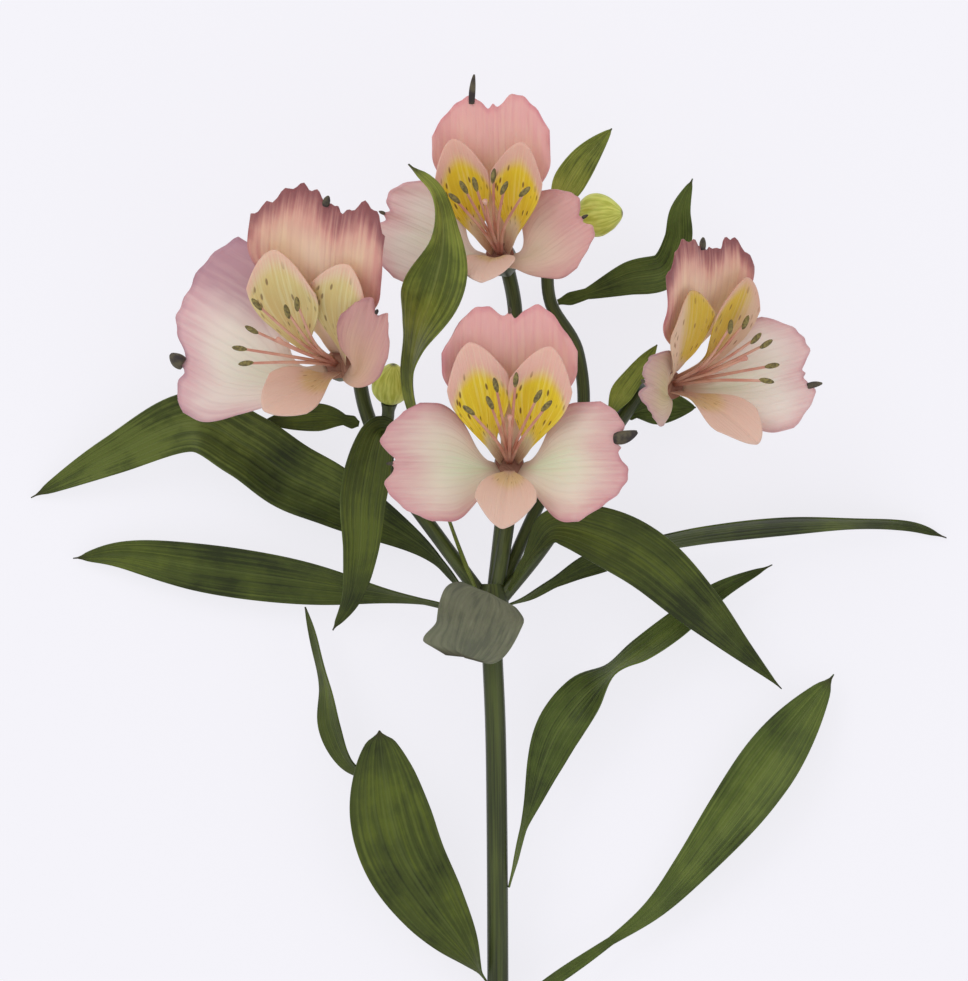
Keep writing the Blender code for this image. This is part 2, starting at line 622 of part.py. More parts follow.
def main():
    """Make every piece of the stem."""
    clear_scene()
    green = make_material("stem_green", (0.085, 0.12, 0.045), 0.5)
    leaf_green = make_material("leaf_green", (0.045, 0.085, 0.025), 0.45)
    bud_green = make_material("bud_green", (0.33, 0.38, 0.09), 0.5)
    pink = make_material("outer_petal_pink", (0.72, 0.47, 0.45), 0.55)
    cream = make_material("inner_petal_yellow", (0.76, 0.58, 0.22), 0.55)
    olive = make_material("stamen_olive", (0.36, 0.24, 0.10), 0.6)
    make_stem(green)
    for name in LEAVES:
        make_whole_leaf(name, leaf_green)
    for key in BUDS:
        make_bud(key, bud_green)
    for key, spec in FLOWERS.items():
        make_flower(key, spec, pink, cream, olive)


main()
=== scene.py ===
# %% [markdown]
# # A cut alstroemeria stem
# The real object is one cut flower stem: a ribbed green stalk, long lance-shaped leaves, four open
# flowers and two buds. It lies on a pale table and the camera looks straight down on it.
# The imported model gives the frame. Every piece below is a finer version of one of its solids.

# %% Load the frame
import json
import math
import random
from functools import partial
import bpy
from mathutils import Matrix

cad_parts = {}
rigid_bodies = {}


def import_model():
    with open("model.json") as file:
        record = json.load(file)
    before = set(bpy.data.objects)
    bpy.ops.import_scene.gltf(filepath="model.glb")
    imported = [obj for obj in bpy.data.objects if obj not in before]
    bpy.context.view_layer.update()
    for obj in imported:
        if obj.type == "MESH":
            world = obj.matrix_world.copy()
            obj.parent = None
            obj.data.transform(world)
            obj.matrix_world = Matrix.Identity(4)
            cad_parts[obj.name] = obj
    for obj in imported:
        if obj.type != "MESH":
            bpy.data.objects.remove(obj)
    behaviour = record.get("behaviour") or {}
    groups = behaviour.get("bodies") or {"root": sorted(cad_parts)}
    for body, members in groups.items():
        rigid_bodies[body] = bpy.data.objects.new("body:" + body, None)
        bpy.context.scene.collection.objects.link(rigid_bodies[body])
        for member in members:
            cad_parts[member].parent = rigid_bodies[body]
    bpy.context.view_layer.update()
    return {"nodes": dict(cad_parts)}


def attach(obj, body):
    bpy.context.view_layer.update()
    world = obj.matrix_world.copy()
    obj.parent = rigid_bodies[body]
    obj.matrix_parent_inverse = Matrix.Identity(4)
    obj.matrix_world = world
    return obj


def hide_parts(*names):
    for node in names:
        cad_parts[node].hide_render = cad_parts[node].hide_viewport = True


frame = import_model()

from types import SimpleNamespace

import bpy
import numpy as np
from mathutils import Matrix, Vector

MM = 0.001
UP = Vector((0.0, 0.0, 1.0))
ROOT = "root"
print("solids in the frame:", len(frame["nodes"]))

# %% [markdown]
# ## Camera, table and light
# A photographer would hang the camera over the stem with a long lens, so that flowers near the lens
# aren't much larger than leaves on the table. A long lens far away does that here: one millimetre on the
# stem is 4.3 pixels of the 968 by 981 picture. The table is a light table, whose glow washes out the stem's
# own shadow, under a bright even sky with two large soft lamps. A plain white table would show the shadow.

# %% Camera
PIXELS_PER_MM = 4.3
FRAME_HEIGHT_PX = 981
SENSOR_MM = 36.0
CAMERA_MM = Vector((-2.56, 303.8, 1500.0))
SHARP_HEIGHT_MM = 20.0

camera_data = bpy.data.cameras.new("camera")
reach_mm = CAMERA_MM.z - SHARP_HEIGHT_MM
camera_data.sensor_width = SENSOR_MM
camera_data.lens = PIXELS_PER_MM * reach_mm * SENSOR_MM / FRAME_HEIGHT_PX
camera_data.clip_end = 20.0
camera = bpy.data.objects.new("camera", camera_data)
camera.location = CAMERA_MM * MM
bpy.context.scene.collection.objects.link(camera)
bpy.context.scene.camera = camera
print("lens in mm:", round(camera_data.lens, 1))

# %% [markdown]
# Colours are written as the sRGB hex values that a colour picker shows, and one function turns them into
# the linear values that the shader works with. In Blender's editor a finish is drawn as a net of nodes. In
# code the same net reads more easily as a recipe: a table says what each kind of node is set to, and one
# small function adds a node and links what goes into it.

# %% Colour and node helpers
# Each kind of node: its type, its settings, the inputs that are filled in order, and the output to read.
NODES = {
    "times": ("Math", {"operation": "MULTIPLY"}, (0, 1), 0),
    "plus": ("Math", {"operation": "ADD"}, (0, 1), 0),
    "capped sum": ("Math", {"operation": "ADD", "use_clamp": True}, (0, 1), 0),
    "minus": ("Math", {"operation": "SUBTRACT"}, (0, 1), 0),
    "larger": ("Math", {"operation": "MAXIMUM"}, (0, 1), 0),
    "distance": ("Math", {"operation": "ABSOLUTE"}, (0,), 0),
    "cosine": ("Math", {"operation": "COSINE"}, (0,), 0),
    "rise": ("MapRange", {"interpolation_type": "SMOOTHSTEP"},
             ("Value", "From Min", "From Max", "To Min", "To Max"), "Result"),
    "mix": ("Mix", {"data_type": "RGBA"}, (0, 6, 7), 2),
    "noise": ("TexNoise", {}, ("Vector", "Scale", "Detail", "Roughness"), "Fac"),
    "spots": ("TexVoronoi", {}, ("Vector", "Scale", "Randomness"), "Distance"),
    "stretch": ("Mapping", {}, ("Vector", "Scale"), 0),
    "bump": ("Bump", {}, ("Height", "Strength", "Distance"), 0),
    "split": ("SeparateXYZ", {}, (0,), "X"),
    "red": ("SeparateColor", {}, (0,), 0),
    "object place": ("TexCoord", {}, (), "Object"),
    "own UV": ("UVMap", {"uv_map": "UVMap"}, (), 0),
}


def srgb(text):
    """A hex colour as linear red, green, blue and alpha."""
    parts = [int(text[i:i + 2], 16) / 255.0 for i in (1, 3, 5)]
    linear = [p / 12.92 if p <= 0.04045 else ((p + 0.055) / 1.055) ** 2.4 for p in parts]
    return (*linear, 1.0)


def add_node(tree, kind, *values):
    """A node of a kind in the table; a value is a number, a hex colour or another node's output."""
    node_type, settings, inputs, output = NODES[kind]
    node = tree.nodes.new("ShaderNode" + node_type)
    for key, value in settings.items():
        setattr(node, key, value)
    for key, value in zip(inputs, values):
        if isinstance(value, bpy.types.NodeSocket):
            tree.links.new(value, node.inputs[key])
        else:
            node.inputs[key].default_value = srgb(value) if isinstance(value, str) else value
    return node.outputs[output]


def new_material(name, roughness, **sockets):
    """A material, its Principled shader, and the function above for its own tree."""
    made = bpy.data.materials.new(name)
    made.use_nodes = True
    shader = made.node_tree.nodes["Principled BSDF"]
    for key, value in {"roughness": roughness, **sockets}.items():
        shader.inputs[key.replace("_", " ").title().replace("Ior", "IOR")].default_value = value
    return made, shader, partial(add_node, made.node_tree)


def paint(shader, colour, height=None, strength=0.5, depth_mm=0.3):
    """Link a colour to the shader, and a bump where the finish has a relief."""
    tree = shader.id_data
    tree.links.new(colour, shader.inputs["Base Color"])
    if height is not None:
        tree.links.new(add_node(tree, "bump", height, strength, depth_mm * MM), shader.inputs["Normal"])


def two_tone(add, noise, first, second):
    """Two colours that change over where a noise crosses its middle."""
    return add("mix", add("rise", noise, 0.35, 0.65), first, second)


print("kinds of node:", len(NODES))

# %% [markdown]
# The table is a plain sheet of milk glass with light under it. A plane with a matt white finish would do,
# but it would show every shadow that the photo washes out, so the plane also glows a little. The light is a
# pale sky from all sides, for soft colours, and two large lamps, which give the petals a bright side.

# %% Table and light
TABLE_SIZE_M = 8.0
TABLE_PLACE_M = (0.0, 0.25, -0.0002)
TABLE_GLOW = 0.84
# Faint patches of about 330 mm, as a number to a metre.
TABLE_PATCHES = 3.0
SKY_STRENGTH = 0.80
# Metres: where each lamp hangs and its width. Watts: how strong it is.
LAMPS = {"key_lamp": ((-1.3, 1.6, 1.7), 1.3, 15.0), "fill_lamp": ((1.6, -0.6, 1.5), 1.6, 5.0)}
LAMP_AIM_M = (0.0, 0.28, 0.0)


def new_primitive(kind, name, **settings):
    """One of Blender's own mesh shapes, selected alone."""
    bpy.ops.object.select_all(action="DESELECT")
    getattr(bpy.ops.mesh, f"primitive_{kind}_add")(**settings)
    made = bpy.context.active_object
    made.name = name
    made.data.name = name
    return made


# Matt white glass, lit from below: nearly no gloss, and a grey so faint that only the glow reads.
table_material, table_shader, add = new_material("white light table", 0.9, specular_ior_level=0.1,
                                                 emission_color=srgb("#F4F3F8"), emission_strength=TABLE_GLOW)
paint(table_shader, add("mix", add("noise", add("object place"), TABLE_PATCHES, 2.0), "#6D6C70", "#706F73"))
table = new_primitive("plane", "table", size=TABLE_SIZE_M, location=TABLE_PLACE_M)
table.data.materials.append(table_material)

world = bpy.data.worlds.new("even studio light")
bpy.context.scene.world = world
world.use_nodes = True
sky = world.node_tree.nodes["Background"]
sky.inputs["Color"].default_value = srgb("#FAFAFF")
sky.inputs["Strength"].default_value = SKY_STRENGTH

for name, (place, size, watts) in LAMPS.items():
    lamp_data = bpy.data.lights.new(name, "AREA")
    lamp_data.size = size
    lamp_data.energy = watts
    lamp = bpy.data.objects.new(name, lamp_data)
    lamp.location = place
    lamp.rotation_euler = (Vector(LAMP_AIM_M) - Vector(place)).to_track_quat("-Z", "Y").to_euler()
    bpy.context.scene.collection.objects.link(lamp)
bpy.context.scene.view_settings.view_transform = "Standard"
print("table and lamps:", 1 + len(LAMPS))

# %% [markdown]
# ## Paths
# Every leaf, stalk and thread follows a curved line. By hand it would be a curve object with handles. Here
# it is a short list of knots with a smooth curve through them, read at even distances, so that a width, a
# roll or a radius written beside a knot runs along smoothly too.

# %% Smooth paths
STEPS_BETWEEN_KNOTS = 16


def smooth_path(knots, count):
    """Points at even distances on a smooth curve through the knots; a knot's later values follow along."""
    knots = np.array(knots, dtype=float)
    first = 2.0 * knots[0] - knots[1]
    last = 2.0 * knots[-1] - knots[-2]
    padded = np.vstack([first, knots, last])
    fine = []
    for a, b, c, d in zip(padded, padded[1:], padded[2:], padded[3:]):
        for t in np.linspace(0.0, 1.0, STEPS_BETWEEN_KNOTS, endpoint=False):
            bend = (2.0 * a - 5.0 * b + 4.0 * c - d) * t * t + (3.0 * b - a - 3.0 * c + d) * t ** 3
            fine.append(0.5 * (2.0 * b + (c - a) * t + bend))
    fine.append(knots[-1])
    fine = np.array(fine)
    steps = np.linalg.norm(np.diff(fine[:, :3], axis=0), axis=1)
    travelled = np.concatenate([[0.0], np.cumsum(steps)])
    stops = np.linspace(0.0, travelled[-1], count)
    return np.column_stack([np.interp(stops, travelled, fine[:, k]) for k in range(fine.shape[1])])


def smoothstep(value, low, high):
    """0 below low, 1 above high, and a smooth rise between."""
    t = min(max((value - low) / (high - low), 0.0), 1.0)
    return t * t * (3.0 - 2.0 * t)


def square_to(guide, axis):
    """The direction square to an axis that is nearest to a guide."""
    return (guide - axis * guide.dot(axis)).normalized()


def steady_guide(axis):
    """Up, or along the stem for an axis that itself points up."""
    return UP if abs(axis.dot(UP)) < 0.9 else Vector((0.0, 1.0, 0.0))


print("a path of 3 knots, read at 5 places:", smooth_path([(0, 0, 0), (1, 1, 0), (2, 0, 0)], 5)[:, 1])

# %% [markdown]
# ## Sheets
# A leaf or a petal is a thin sheet. By hand, a grid would be added, its points pushed into shape, and the
# Solidify modifier would give it a thickness. The same is done here, with a formula in place of the hand:
# the formula takes a place across the sheet (u from -1 to 1) and along it (v from 0 to 1). Solidify also
# puts the second material on the back, which is paler on a leaf and on a petal.

# %% Sheets


def apply_modifiers(piece):
    """Apply what the piece carries, as the Apply button does."""
    bpy.context.view_layer.objects.active = piece
    for modifier in list(piece.modifiers):
        bpy.ops.object.modifier_apply(modifier=modifier.name)


def declare(piece, node):
    """The piece stands for a node of the frame and rides with the body."""
    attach(piece, ROOT)
    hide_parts(node)


def make_sheet(name, across, along, surface, thickness, face, back):
    """A thin sheet from surface(u, v) in mm, with one material on its face and one on its back."""
    sheet = new_primitive("grid", name + "_look", x_subdivisions=across, y_subdivisions=along, size=2.0)
    for point in sheet.data.vertices:
        place = surface(point.co.x, 0.5 * (point.co.y + 1.0))
        point.co = place * MM
    sheet.data.materials.append(face)
    sheet.data.materials.append(back)
    thicken = sheet.modifiers.new("thickness", "SOLIDIFY")
    thicken.thickness = thickness * MM
    thicken.offset = 0.0
    thicken.material_offset = 1
    apply_modifiers(sheet)
    sheet.data.shade_smooth()
    return sheet


print("sheets ready")

# %% [markdown]
# ## Pipes
# A stalk or a stamen thread is round. A curve with a bevel is the quick way, but it has no ribs and no
# swellings. So the same grid is rolled round a path, with a radius that may change along it and around it,
# and its seam is merged and its ends are filled.

# %% Pipes
# Points nearer than this are one point.
SEAM_METRES = 0.000001


def roll_pipe(name, path, radius_at, around, material):
    """A pipe along a path in mm; radius_at(v, angle) gives the distance from its middle line."""
    rings = len(path)
    pipe = new_primitive("grid", name, x_subdivisions=around, y_subdivisions=rings - 1, size=2.0)
    centres = [Vector(point[:3]) for point in path]
    normals = []
    normal = None
    for index in range(rings):
        along = (centres[min(index + 1, rings - 1)] - centres[max(index - 1, 0)]).normalized()
        normal = -square_to(steady_guide(along), along) if normal is None else square_to(normal, along)
        normals.append((normal.copy(), along.cross(normal)))
    for point in pipe.data.vertices:
        ring = round(0.5 * (point.co.y + 1.0) * (rings - 1))
        angle = math.pi * (point.co.x + 1.0)
        first, second = normals[ring]
        radius = radius_at(ring / (rings - 1), angle)
        point.co = (centres[ring] + (first * math.cos(angle) + second * math.sin(angle)) * radius) * MM
    pipe.data.materials.append(material)
    bpy.ops.object.mode_set(mode="EDIT")
    bpy.ops.mesh.select_all(action="SELECT")
    bpy.ops.mesh.remove_doubles(threshold=SEAM_METRES)
    bpy.ops.mesh.select_all(action="SELECT")
    bpy.ops.mesh.fill_holes(sides=0)
    bpy.ops.mesh.select_all(action="SELECT")
    bpy.ops.mesh.normals_make_consistent(inside=False)
    bpy.ops.object.mode_set(mode="OBJECT")
    return pipe


def join_pieces(name, pieces):
    """Several meshes joined in one object, as Ctrl+J does."""
    bpy.ops.object.select_all(action="DESELECT")
    for piece in pieces:
        piece.select_set(True)
    bpy.context.view_layer.objects.active = pieces[0]
    bpy.ops.object.join()
    joined = bpy.context.active_object
    joined.name = name
    joined.data.name = name
    return joined


print("pipes ready")

# %% [markdown]
# ## Leaf finish
# An alstroemeria leaf is thin and a little waxy, so it has a soft satin sheen. Its veins run lengthwise
# with a pale midrib. The colour is a deep olive that turns lighter in broad patches, and the back is paler
# and duller. An image texture could show all this, but a pattern made of nodes stays sharp at any size. The
# sheet's own UV map follows the leaf, so the veins do too: they are a sine across the width, which a wave
# texture could make as well, with less control.

# %% Leaf materials
# Nine veins on a leaf 14 mm wide are 1.6 mm apart, wider than the real 1 mm, so that the render shows them.
LEAF_VEINS = 9.0
# Blotches of about 18 mm: 55 of them to a metre.
LEAF_BLOTCHES = 55.0
# Fibres 0.6 mm wide and 40 mm long on a leaf of 14 by 100 mm.
LEAF_FIBRES = (22.0, 2.6, 1.0)
DRY_TIP = "#3C3526"


def leaf_material(name, deep, middle, light, vein, roughness, relief=1.0, bright=(2.0, 3.0)):
    """A satin leaf with blotches and lengthwise veins that follow the UV map.

    Relief is how strong the veins are, and the leaf turns lighter between the two places in bright, a
    painted light on its far part that leaves the near part darker, as if in shade.
    """
    made, shader, add = new_material(name, roughness, specular_ior_level=0.2, subsurface_weight=0.06,
                                     subsurface_radius=(0.3, 0.8, 0.15), subsurface_scale=0.001)
    uv = add("own UV")
    across = add("split", uv)
    along = across.node.outputs["Y"]
    blotches = add("noise", add("object place"), LEAF_BLOTCHES, 5.0, 0.6)
    fibres = add("noise", add("stretch", uv, LEAF_FIBRES), 1.0, 5.0)
    mixed = add("plus", add("times", blotches, 0.6), add("times", fibres, 0.4))
    # Painted light: past the places in bright the leaf is made lighter, as if lit, and before them it stays
    # darker, as if in shade.
    mixed = add("plus", mixed, add("rise", along, *bright, 0.0, 0.1))
    colour = add("mix", add("rise", mixed, 0.40, 0.52), deep, middle)
    colour = add("mix", add("rise", mixed, 0.51, 0.63), colour, light)
    # The fibres make the veins wander a little.
    turns = add("plus", add("times", across, 2.0 * math.pi * LEAF_VEINS), add("times", fibres, 1.6))
    veins = add("rise", add("cosine", turns), 0.45, 1.0)
    faint = add("rise", blotches, 0.35, 0.65, 0.04 * relief, 0.22 * relief)
    colour = add("mix", add("times", veins, faint), colour, vein)
    from_middle = add("distance", add("minus", across, 0.5))
    midrib = add("times", add("rise", from_middle, 0.0, 0.04, 1.0, 0.0), 0.26 * relief)
    colour = add("mix", midrib, colour, vein)
    colour = add("mix", add("times", add("rise", along, 0.955, 1.0), 0.75), colour, DRY_TIP)
    height = add("plus", add("times", veins, 0.5), add("times", fibres, 0.8))
    paint(shader, colour, add("minus", height, midrib), 0.5 * relief)
    return made


# Wax gives the upper sides a satin sheen (0.45). The duller under side is rougher, and the short leaf is
# matt, with nearly flat veins.
LEAF_LOOKS = {
    "face": ("waxy olive leaf, upper side", "#2A3211", "#424C1B", "#57621F", "#6A763C", 0.45),
    # Painted light: this leaf is lighter towards its tip, where light falls on it, and darker near the stalk,
    # in shade.
    "lit_to_tip": ("waxy olive leaf, paler to its tip", "#272F10", "#3F4919", "#5D682A", "#6E7A42", 0.45,
                1.0, (0.45, 0.7)),
    "bright": ("young olive leaf, upper side", "#303A14", "#4A5820", "#5E6C2A", "#7A8646", 0.45),
    "yellow": ("yellowish olive leaf, upper side", "#525C22", "#7C8634", "#989E46", "#A4AA5C", 0.5),
    "back": ("dull olive leaf, under side", "#3A4420", "#4C572C", "#5C6838", "#78844E", 0.6),
    # Painted sheen: the short leaf's grey-green is partly its own paler tone and partly a front-lit sheen
    # painted into its colour.
    "grey": ("grey-green short leaf, upper side", "#5E6150", "#70725C", "#82836C", "#8E917A", 0.7, 0.35),
}
leaf_skins = {key: leaf_material(*look) for key, look in LEAF_LOOKS.items()}
print("leaf materials:", len(leaf_skins))

# %% [markdown]
# ## Leaf shape
# Each leaf grows as a narrow stalk, twists over and opens into a lance-shaped blade. A hand modeller
# could draw a curve and loft a section along it. Here the grid's rows are laid across the leaf's path, and
# two short formulas give the width at each row and the way that it folds along the midrib.

# %% Leaf shape
LEAF_ACROSS = 20
LEAF_ALONG = 90
# Millimetres, apart from the fold, which is a share of half the width.
LEAF_THICKNESS = 0.38
LEAF_FOLD = 0.22
LEAF_WAVE = 0.5
TIP_HALF_WIDTH = 0.4
FOOT_REACH = 0.5
# A foot this near the stalk's middle line, and this low, stands on the stalk and reaches straight to it.
STALK_SIDE = 4.5
STALK_HEIGHT = 12.0


def leaf_half_width(v, width, petiole, widest, taper, point):
    """Half the width of a lance-shaped leaf at v; a low taper or point gives a broad foot or a blunt tip."""
    if v < widest:
        shape = math.sin(0.5 * math.pi * v / widest) ** taper
    else:
        shape = math.sin(0.5 * math.pi * (1.0 - v) / (1.0 - widest)) ** point
    stalk = petiole * (1.0 - smoothstep(v, 0.0, 0.5))
    tip = TIP_HALF_WIDTH * smoothstep(v, 0.5, 1.0)
    ends = (0.4 + 0.6 * smoothstep(v, 0.0, 0.07)) * (1.0 - 0.75 * smoothstep(v, 0.96, 1.0))
    return max(0.5 * width * shape, stalk + tip) * ends


def leaf_surface(width, knots, petiole=1.6, widest=0.45, taper=1.5, point=0.85, corner=0.0):
    """The formula of a leaf's middle layer.

    The foot is drawn up to the stalk, and corner is how far the end sticks out on one side.
    """
    foot = Vector(knots[0][:3])
    beside = abs(foot.x) < STALK_SIDE and foot.z < STALK_HEIGHT
    reach = Vector((-foot.x, 0.0, 0.0)) if beside else foot - Vector(knots[1][:3])
    foot += reach.normalized() * FOOT_REACH
    knots = [(*foot, knots[0][3]), *knots[1:]]
    rows = smooth_path(knots, LEAF_ALONG + 1)
    tangents = np.gradient(rows[:, :3], axis=0)

    def surface(u, v):
        row = round(v * LEAF_ALONG)
        along = Vector(tangents[row]).normalized()
        normal = square_to(UP, along)
        side = along.cross(normal)
        roll = math.radians(rows[row, 3])
        rolled_side = side * math.cos(roll) + normal * math.sin(roll)
        rolled_normal = normal * math.cos(roll) - side * math.sin(roll)
        half = leaf_half_width(v, width, petiole, widest, taper, point)
        lift = LEAF_FOLD * half * abs(u) ** 1.4
        lift += LEAF_WAVE * u * abs(u) * math.sin(4.0 * math.pi * v) * min(half / 4.0, 1.0)
        stray = corner * smoothstep(u, 0.4, 1.0) * smoothstep(v, 0.7, 1.0)
        stray_along = along * (0.3 * stray)
        return Vector(rows[row, :3]) + rolled_side * (u * half + stray) + rolled_normal * lift + stray_along

    return surface


print("leaf cells:", LEAF_ACROSS * LEAF_ALONG)

# %% [markdown]
# ## Leaf knots
# The photo shows where each leaf runs, but not how high it stands, so the heights are chosen to let the
# leaves pass over and under each other as they do there. Tracing every leaf with dozens of points would
# make them bumpy. Three to eleven knots are enough for the long smooth bends and the one twist that a
# leaf has.

# %% Leaf knots
# Each leaf: its width, its knots of x, y, z and roll from root to tip, and what differs in its outline.
LEAVES = {
    "leaf_left_upper": (16.0, [(-5.6, 278.6, 12.5, 80), (-16.8, 290.6, 10.0, 30), (-36.5, 301.8, 8.5, 5),
        (-48.0, 307.3, 9.0, 0), (-58.5, 314.2, 11.0, -10), (-71.0, 319.8, 12.0, 0), (-89.5, 312.3, 6.5, 15),
        (-109.3, 302.1, 0.4, 0)], {}),
    "leaf_left_lower": (12.5, [(-5.2, 274.5, 15.0, 80), (-12.8, 277.2, 13.0, 60), (-26.7, 279.8, 9.0, 50),
        (-45.3, 282.7, 7.0, 28), (-68.6, 285.9, 6.0, 15), (-87.2, 288.8, 4.0, 15), (-99.3, 287.8, 1.5, 15)],
        {"widest": 0.58}),
    "leaf_hanging": (11.0, [(-24.6, 308.6, 16.0, 60), (-24.0, 316.5, 22.0, 40), (-27.5, 316.5, 28.0, 15),
        (-30.6, 303.0, 28.0, 15), (-31.4, 290.0, 25.0, 25), (-33.5, 279.0, 20.0, 35),
        (-37.8, 271.2, 16.0, 30)], {}),
    "leaf_stem_left": (19.5, [(-2.5, 189.0, 9.4, 85), (-7.2, 197.0, 11.0, 25), (-14.5, 207.0, 12.0, 5),
        (-21.0, 217.5, 13.0, 0), (-24.3, 227.5, 14.0, 0), (-26.0, 238.0, 14.5, 0), (-27.0, 247.8, 14.0, 0)],
        {"widest": 0.62, "taper": 0.75, "point": 0.6}),
    "leaf_stem_right": (11.0, [(3.7, 211.0, 11.0, -85), (5.8, 222.5, 12.0, -70), (8.4, 231.0, 12.0, -45),
        (11.3, 240.0, 11.5, -20), (15.0, 248.0, 11.0, 0), (21.0, 255.5, 10.0, 30), (27.6, 261.0, 9.4, 72),
        (34.5, 265.8, 8.6, 50), (42.0, 271.5, 8.0, 36), (52.5, 280.0, 7.0, 25), (65.1, 286.4, 6.0, 15)],
        {"widest": 0.4, "taper": 2.2}),
    "leaf_right_drooping": (14.0, [(3.6, 281.0, 18.4, 60), (9.0, 290.0, 20.5, 30), (14.0, 295.5, 22.0, 10),
        (24.4, 293.5, 23.0, 0), (36.0, 287.2, 22.0, 0), (47.7, 276.6, 18.0, -5), (57.0, 267.2, 13.0, -10),
        (67.2, 257.3, 8.0, 0)], {"widest": 0.42, "point": 1.15}),
    "leaf_right_horizontal": (11.0, [(3.1, 277.2, 13.4, -85), (8.0, 279.2, 11.6, -65),
        (15.0, 283.0, 9.4, -40), (22.0, 286.6, 8.4, -30), (33.7, 291.0, 8.0, -60), (47.7, 294.2, 8.0, -66),
        (66.3, 296.2, 6.5, -71), (84.9, 296.6, 4.5, -66), (97.5, 295.6, 2.5, -45),
        (106.4, 292.6, 0.4, -10)], {}),
    "leaf_lower_right": (14.0, [(4.0, 183.0, 9.5, -85), (13.8, 189.3, 8.0, -40), (25.4, 196.8, 6.0, 0),
        (37.3, 205.3, 5.0, 25), (46.3, 215.1, 5.5, 25), (55.8, 227.4, 6.5, 15), (62.9, 237.4, 7.0, 10),
        (70.5, 248.1, 6.0, 10), (79.7, 260.6, 4.0, 0)], {"petiole": 2.0, "widest": 0.74, "taper": 3.0}),
    "leaf_upper_front": (14.0, [(-4.4, 281.0, 18.0, 70), (-10.5, 297.0, 18.0, 75), (-16.5, 316.0, 24.0, 78),
        (-19.2, 328.0, 34.0, 76), (-17.8, 338.5, 42.0, 60), (-14.2, 349.5, 48.0, 5),
        (-12.0, 361.0, 50.0, -50), (-13.6, 371.5, 49.0, -58), (-19.8, 378.3, 48.0, -45)], {"widest": 0.7,
        "taper": 2.7}),
    "leaf_upper_right": (9.0, [(15.2, 348.0, 10.7, 0), (22.0, 350.0, 12.0, 0), (31.4, 353.2, 12.0, 10),
        (39.8, 355.0, 13.0, 20), (43.0, 362.0, 15.0, 30), (43.4, 369.0, 16.0, 20), (46.0, 376.5, 17.0, 20)],
        {"widest": 0.5}),
    "leaf_short": (20.0, [(-1.5, 279.5, 20.0, 0), (-3.0, 276.0, 22.0, 0), (-5.0, 270.5, 25.0, 0),
        (-7.2, 265.2, 26.0, 0)], {"petiole": 2.0, "widest": 0.3, "taper": 0.35, "point": 0.2}),
    "bract_top": (7.5, [(12.9, 366.0, 16.3, 20), (16.0, 373.0, 18.0, 10), (20.5, 380.5, 19.0, 0),
        (27.2, 388.0, 20.0, 0)], {}),
    "bract_right": (8.0, [(31.0, 321.6, 8.0, 0), (38.0, 323.3, 6.2, 0), (47.2, 323.3, 6.0, 0)], {}),
    "bract_right_upper": (6.0, [(25.6, 318.6, 13.0, 70), (29.2, 325.4, 14.0, 40), (33.3, 331.2, 15.0, 25),
        (37.8, 337.8, 16.0, 10)], {}),
    "bract_left": (6.5, [(-32.3, 319.5, 9.0, 0), (-40.0, 321.0, 8.0, 0), (-54.4, 320.0, 7.0, 0)], {}),
}

# The narrow end of a leaf that is folded back under its own blade.
FOLDED_ENDS = {
    "leaf_stem_left": (7.0, [(-29.0, 236.5, 13.3, 50), (-34.6, 240.4, 12.0, 45), (-38.2, 248.5, 10.5, 50),
        (-39.4, 258.0, 9.0, 60), (-42.0, 268.0, 6.8, 65), (-44.6, 276.4, 4.2, 50)], {"widest": 0.35,
        "taper": 0.8}),
}

# %% [markdown]
# One loop makes all the leaves, because they differ only in their knots, outline and finish. Modelling each
# by hand would give the same shapes for more work. The leaf whose narrow end is folded back is two sheets,
# joined in one object, since the fold itself is hidden between them.

# %% Make the leaves
LEAF_FACES = {"leaf_left_upper": "lit_to_tip", "leaf_lower_right": "bright", "bract_right": "bright",
              "leaf_upper_right": "bright", "leaf_stem_right": "bright", "bract_top": "yellow",
              "bract_right_upper": "yellow", "leaf_upper_front": "yellow", "leaf_short": "grey"}
# How far the end of a leaf sticks out on its right side, in mm.
SPURS = {"leaf_short": 4.0}


def make_blade(name, skin, width, knots, options, corner=0.0):
    """One leaf sheet from a row of the tables above."""
    surface = leaf_surface(width, knots, **options, corner=corner)
    return make_sheet(name, LEAF_ACROSS, LEAF_ALONG, surface, LEAF_THICKNESS, skin, leaf_skins["back"])


for name, row in LEAVES.items():
    skin = leaf_skins[LEAF_FACES.get(name, "face")]
    leaf = make_blade(name, skin, *row, SPURS.get(name, 0.0))
    if name in FOLDED_ENDS:
        leaf = join_pieces(leaf.name, [leaf, make_blade(name + "_end", skin, *FOLDED_ENDS[name])])
    declare(leaf, name)
print("leaves:", len(LEAVES))

# %% [markdown]
# ## Petal finish
# The outer petals are cream with a green flush down the middle and a rose-pink margin, and fine veins run
# along them. The inner petals are narrow, with a yellow patch, red-brown dashes and pink tips. Petals are
# matt, let some light through, and have a faint velvet sheen. Painting them by hand would need an image for
# each. Here each colour is a mask along or across the UV map, X across the petal and Y along it, and clouds
# and streaks break up the masks' borders, so that they look grown and not printed.

# %% Petal patterns
# Fifteen veins on a petal 28 mm wide are 1.9 mm apart.
PETAL_VEINS = 15.0
# Clouds of 8 mm and a grain of 0.45 mm, as numbers to a metre.
PETAL_CLOUDS = 130.0
PETAL_GRAIN = 2200.0
# Streaks 0.8 mm wide and 18 mm long on a petal of 28 by 40 mm.
PETAL_STREAKS = (34.0, 2.2, 1.0)


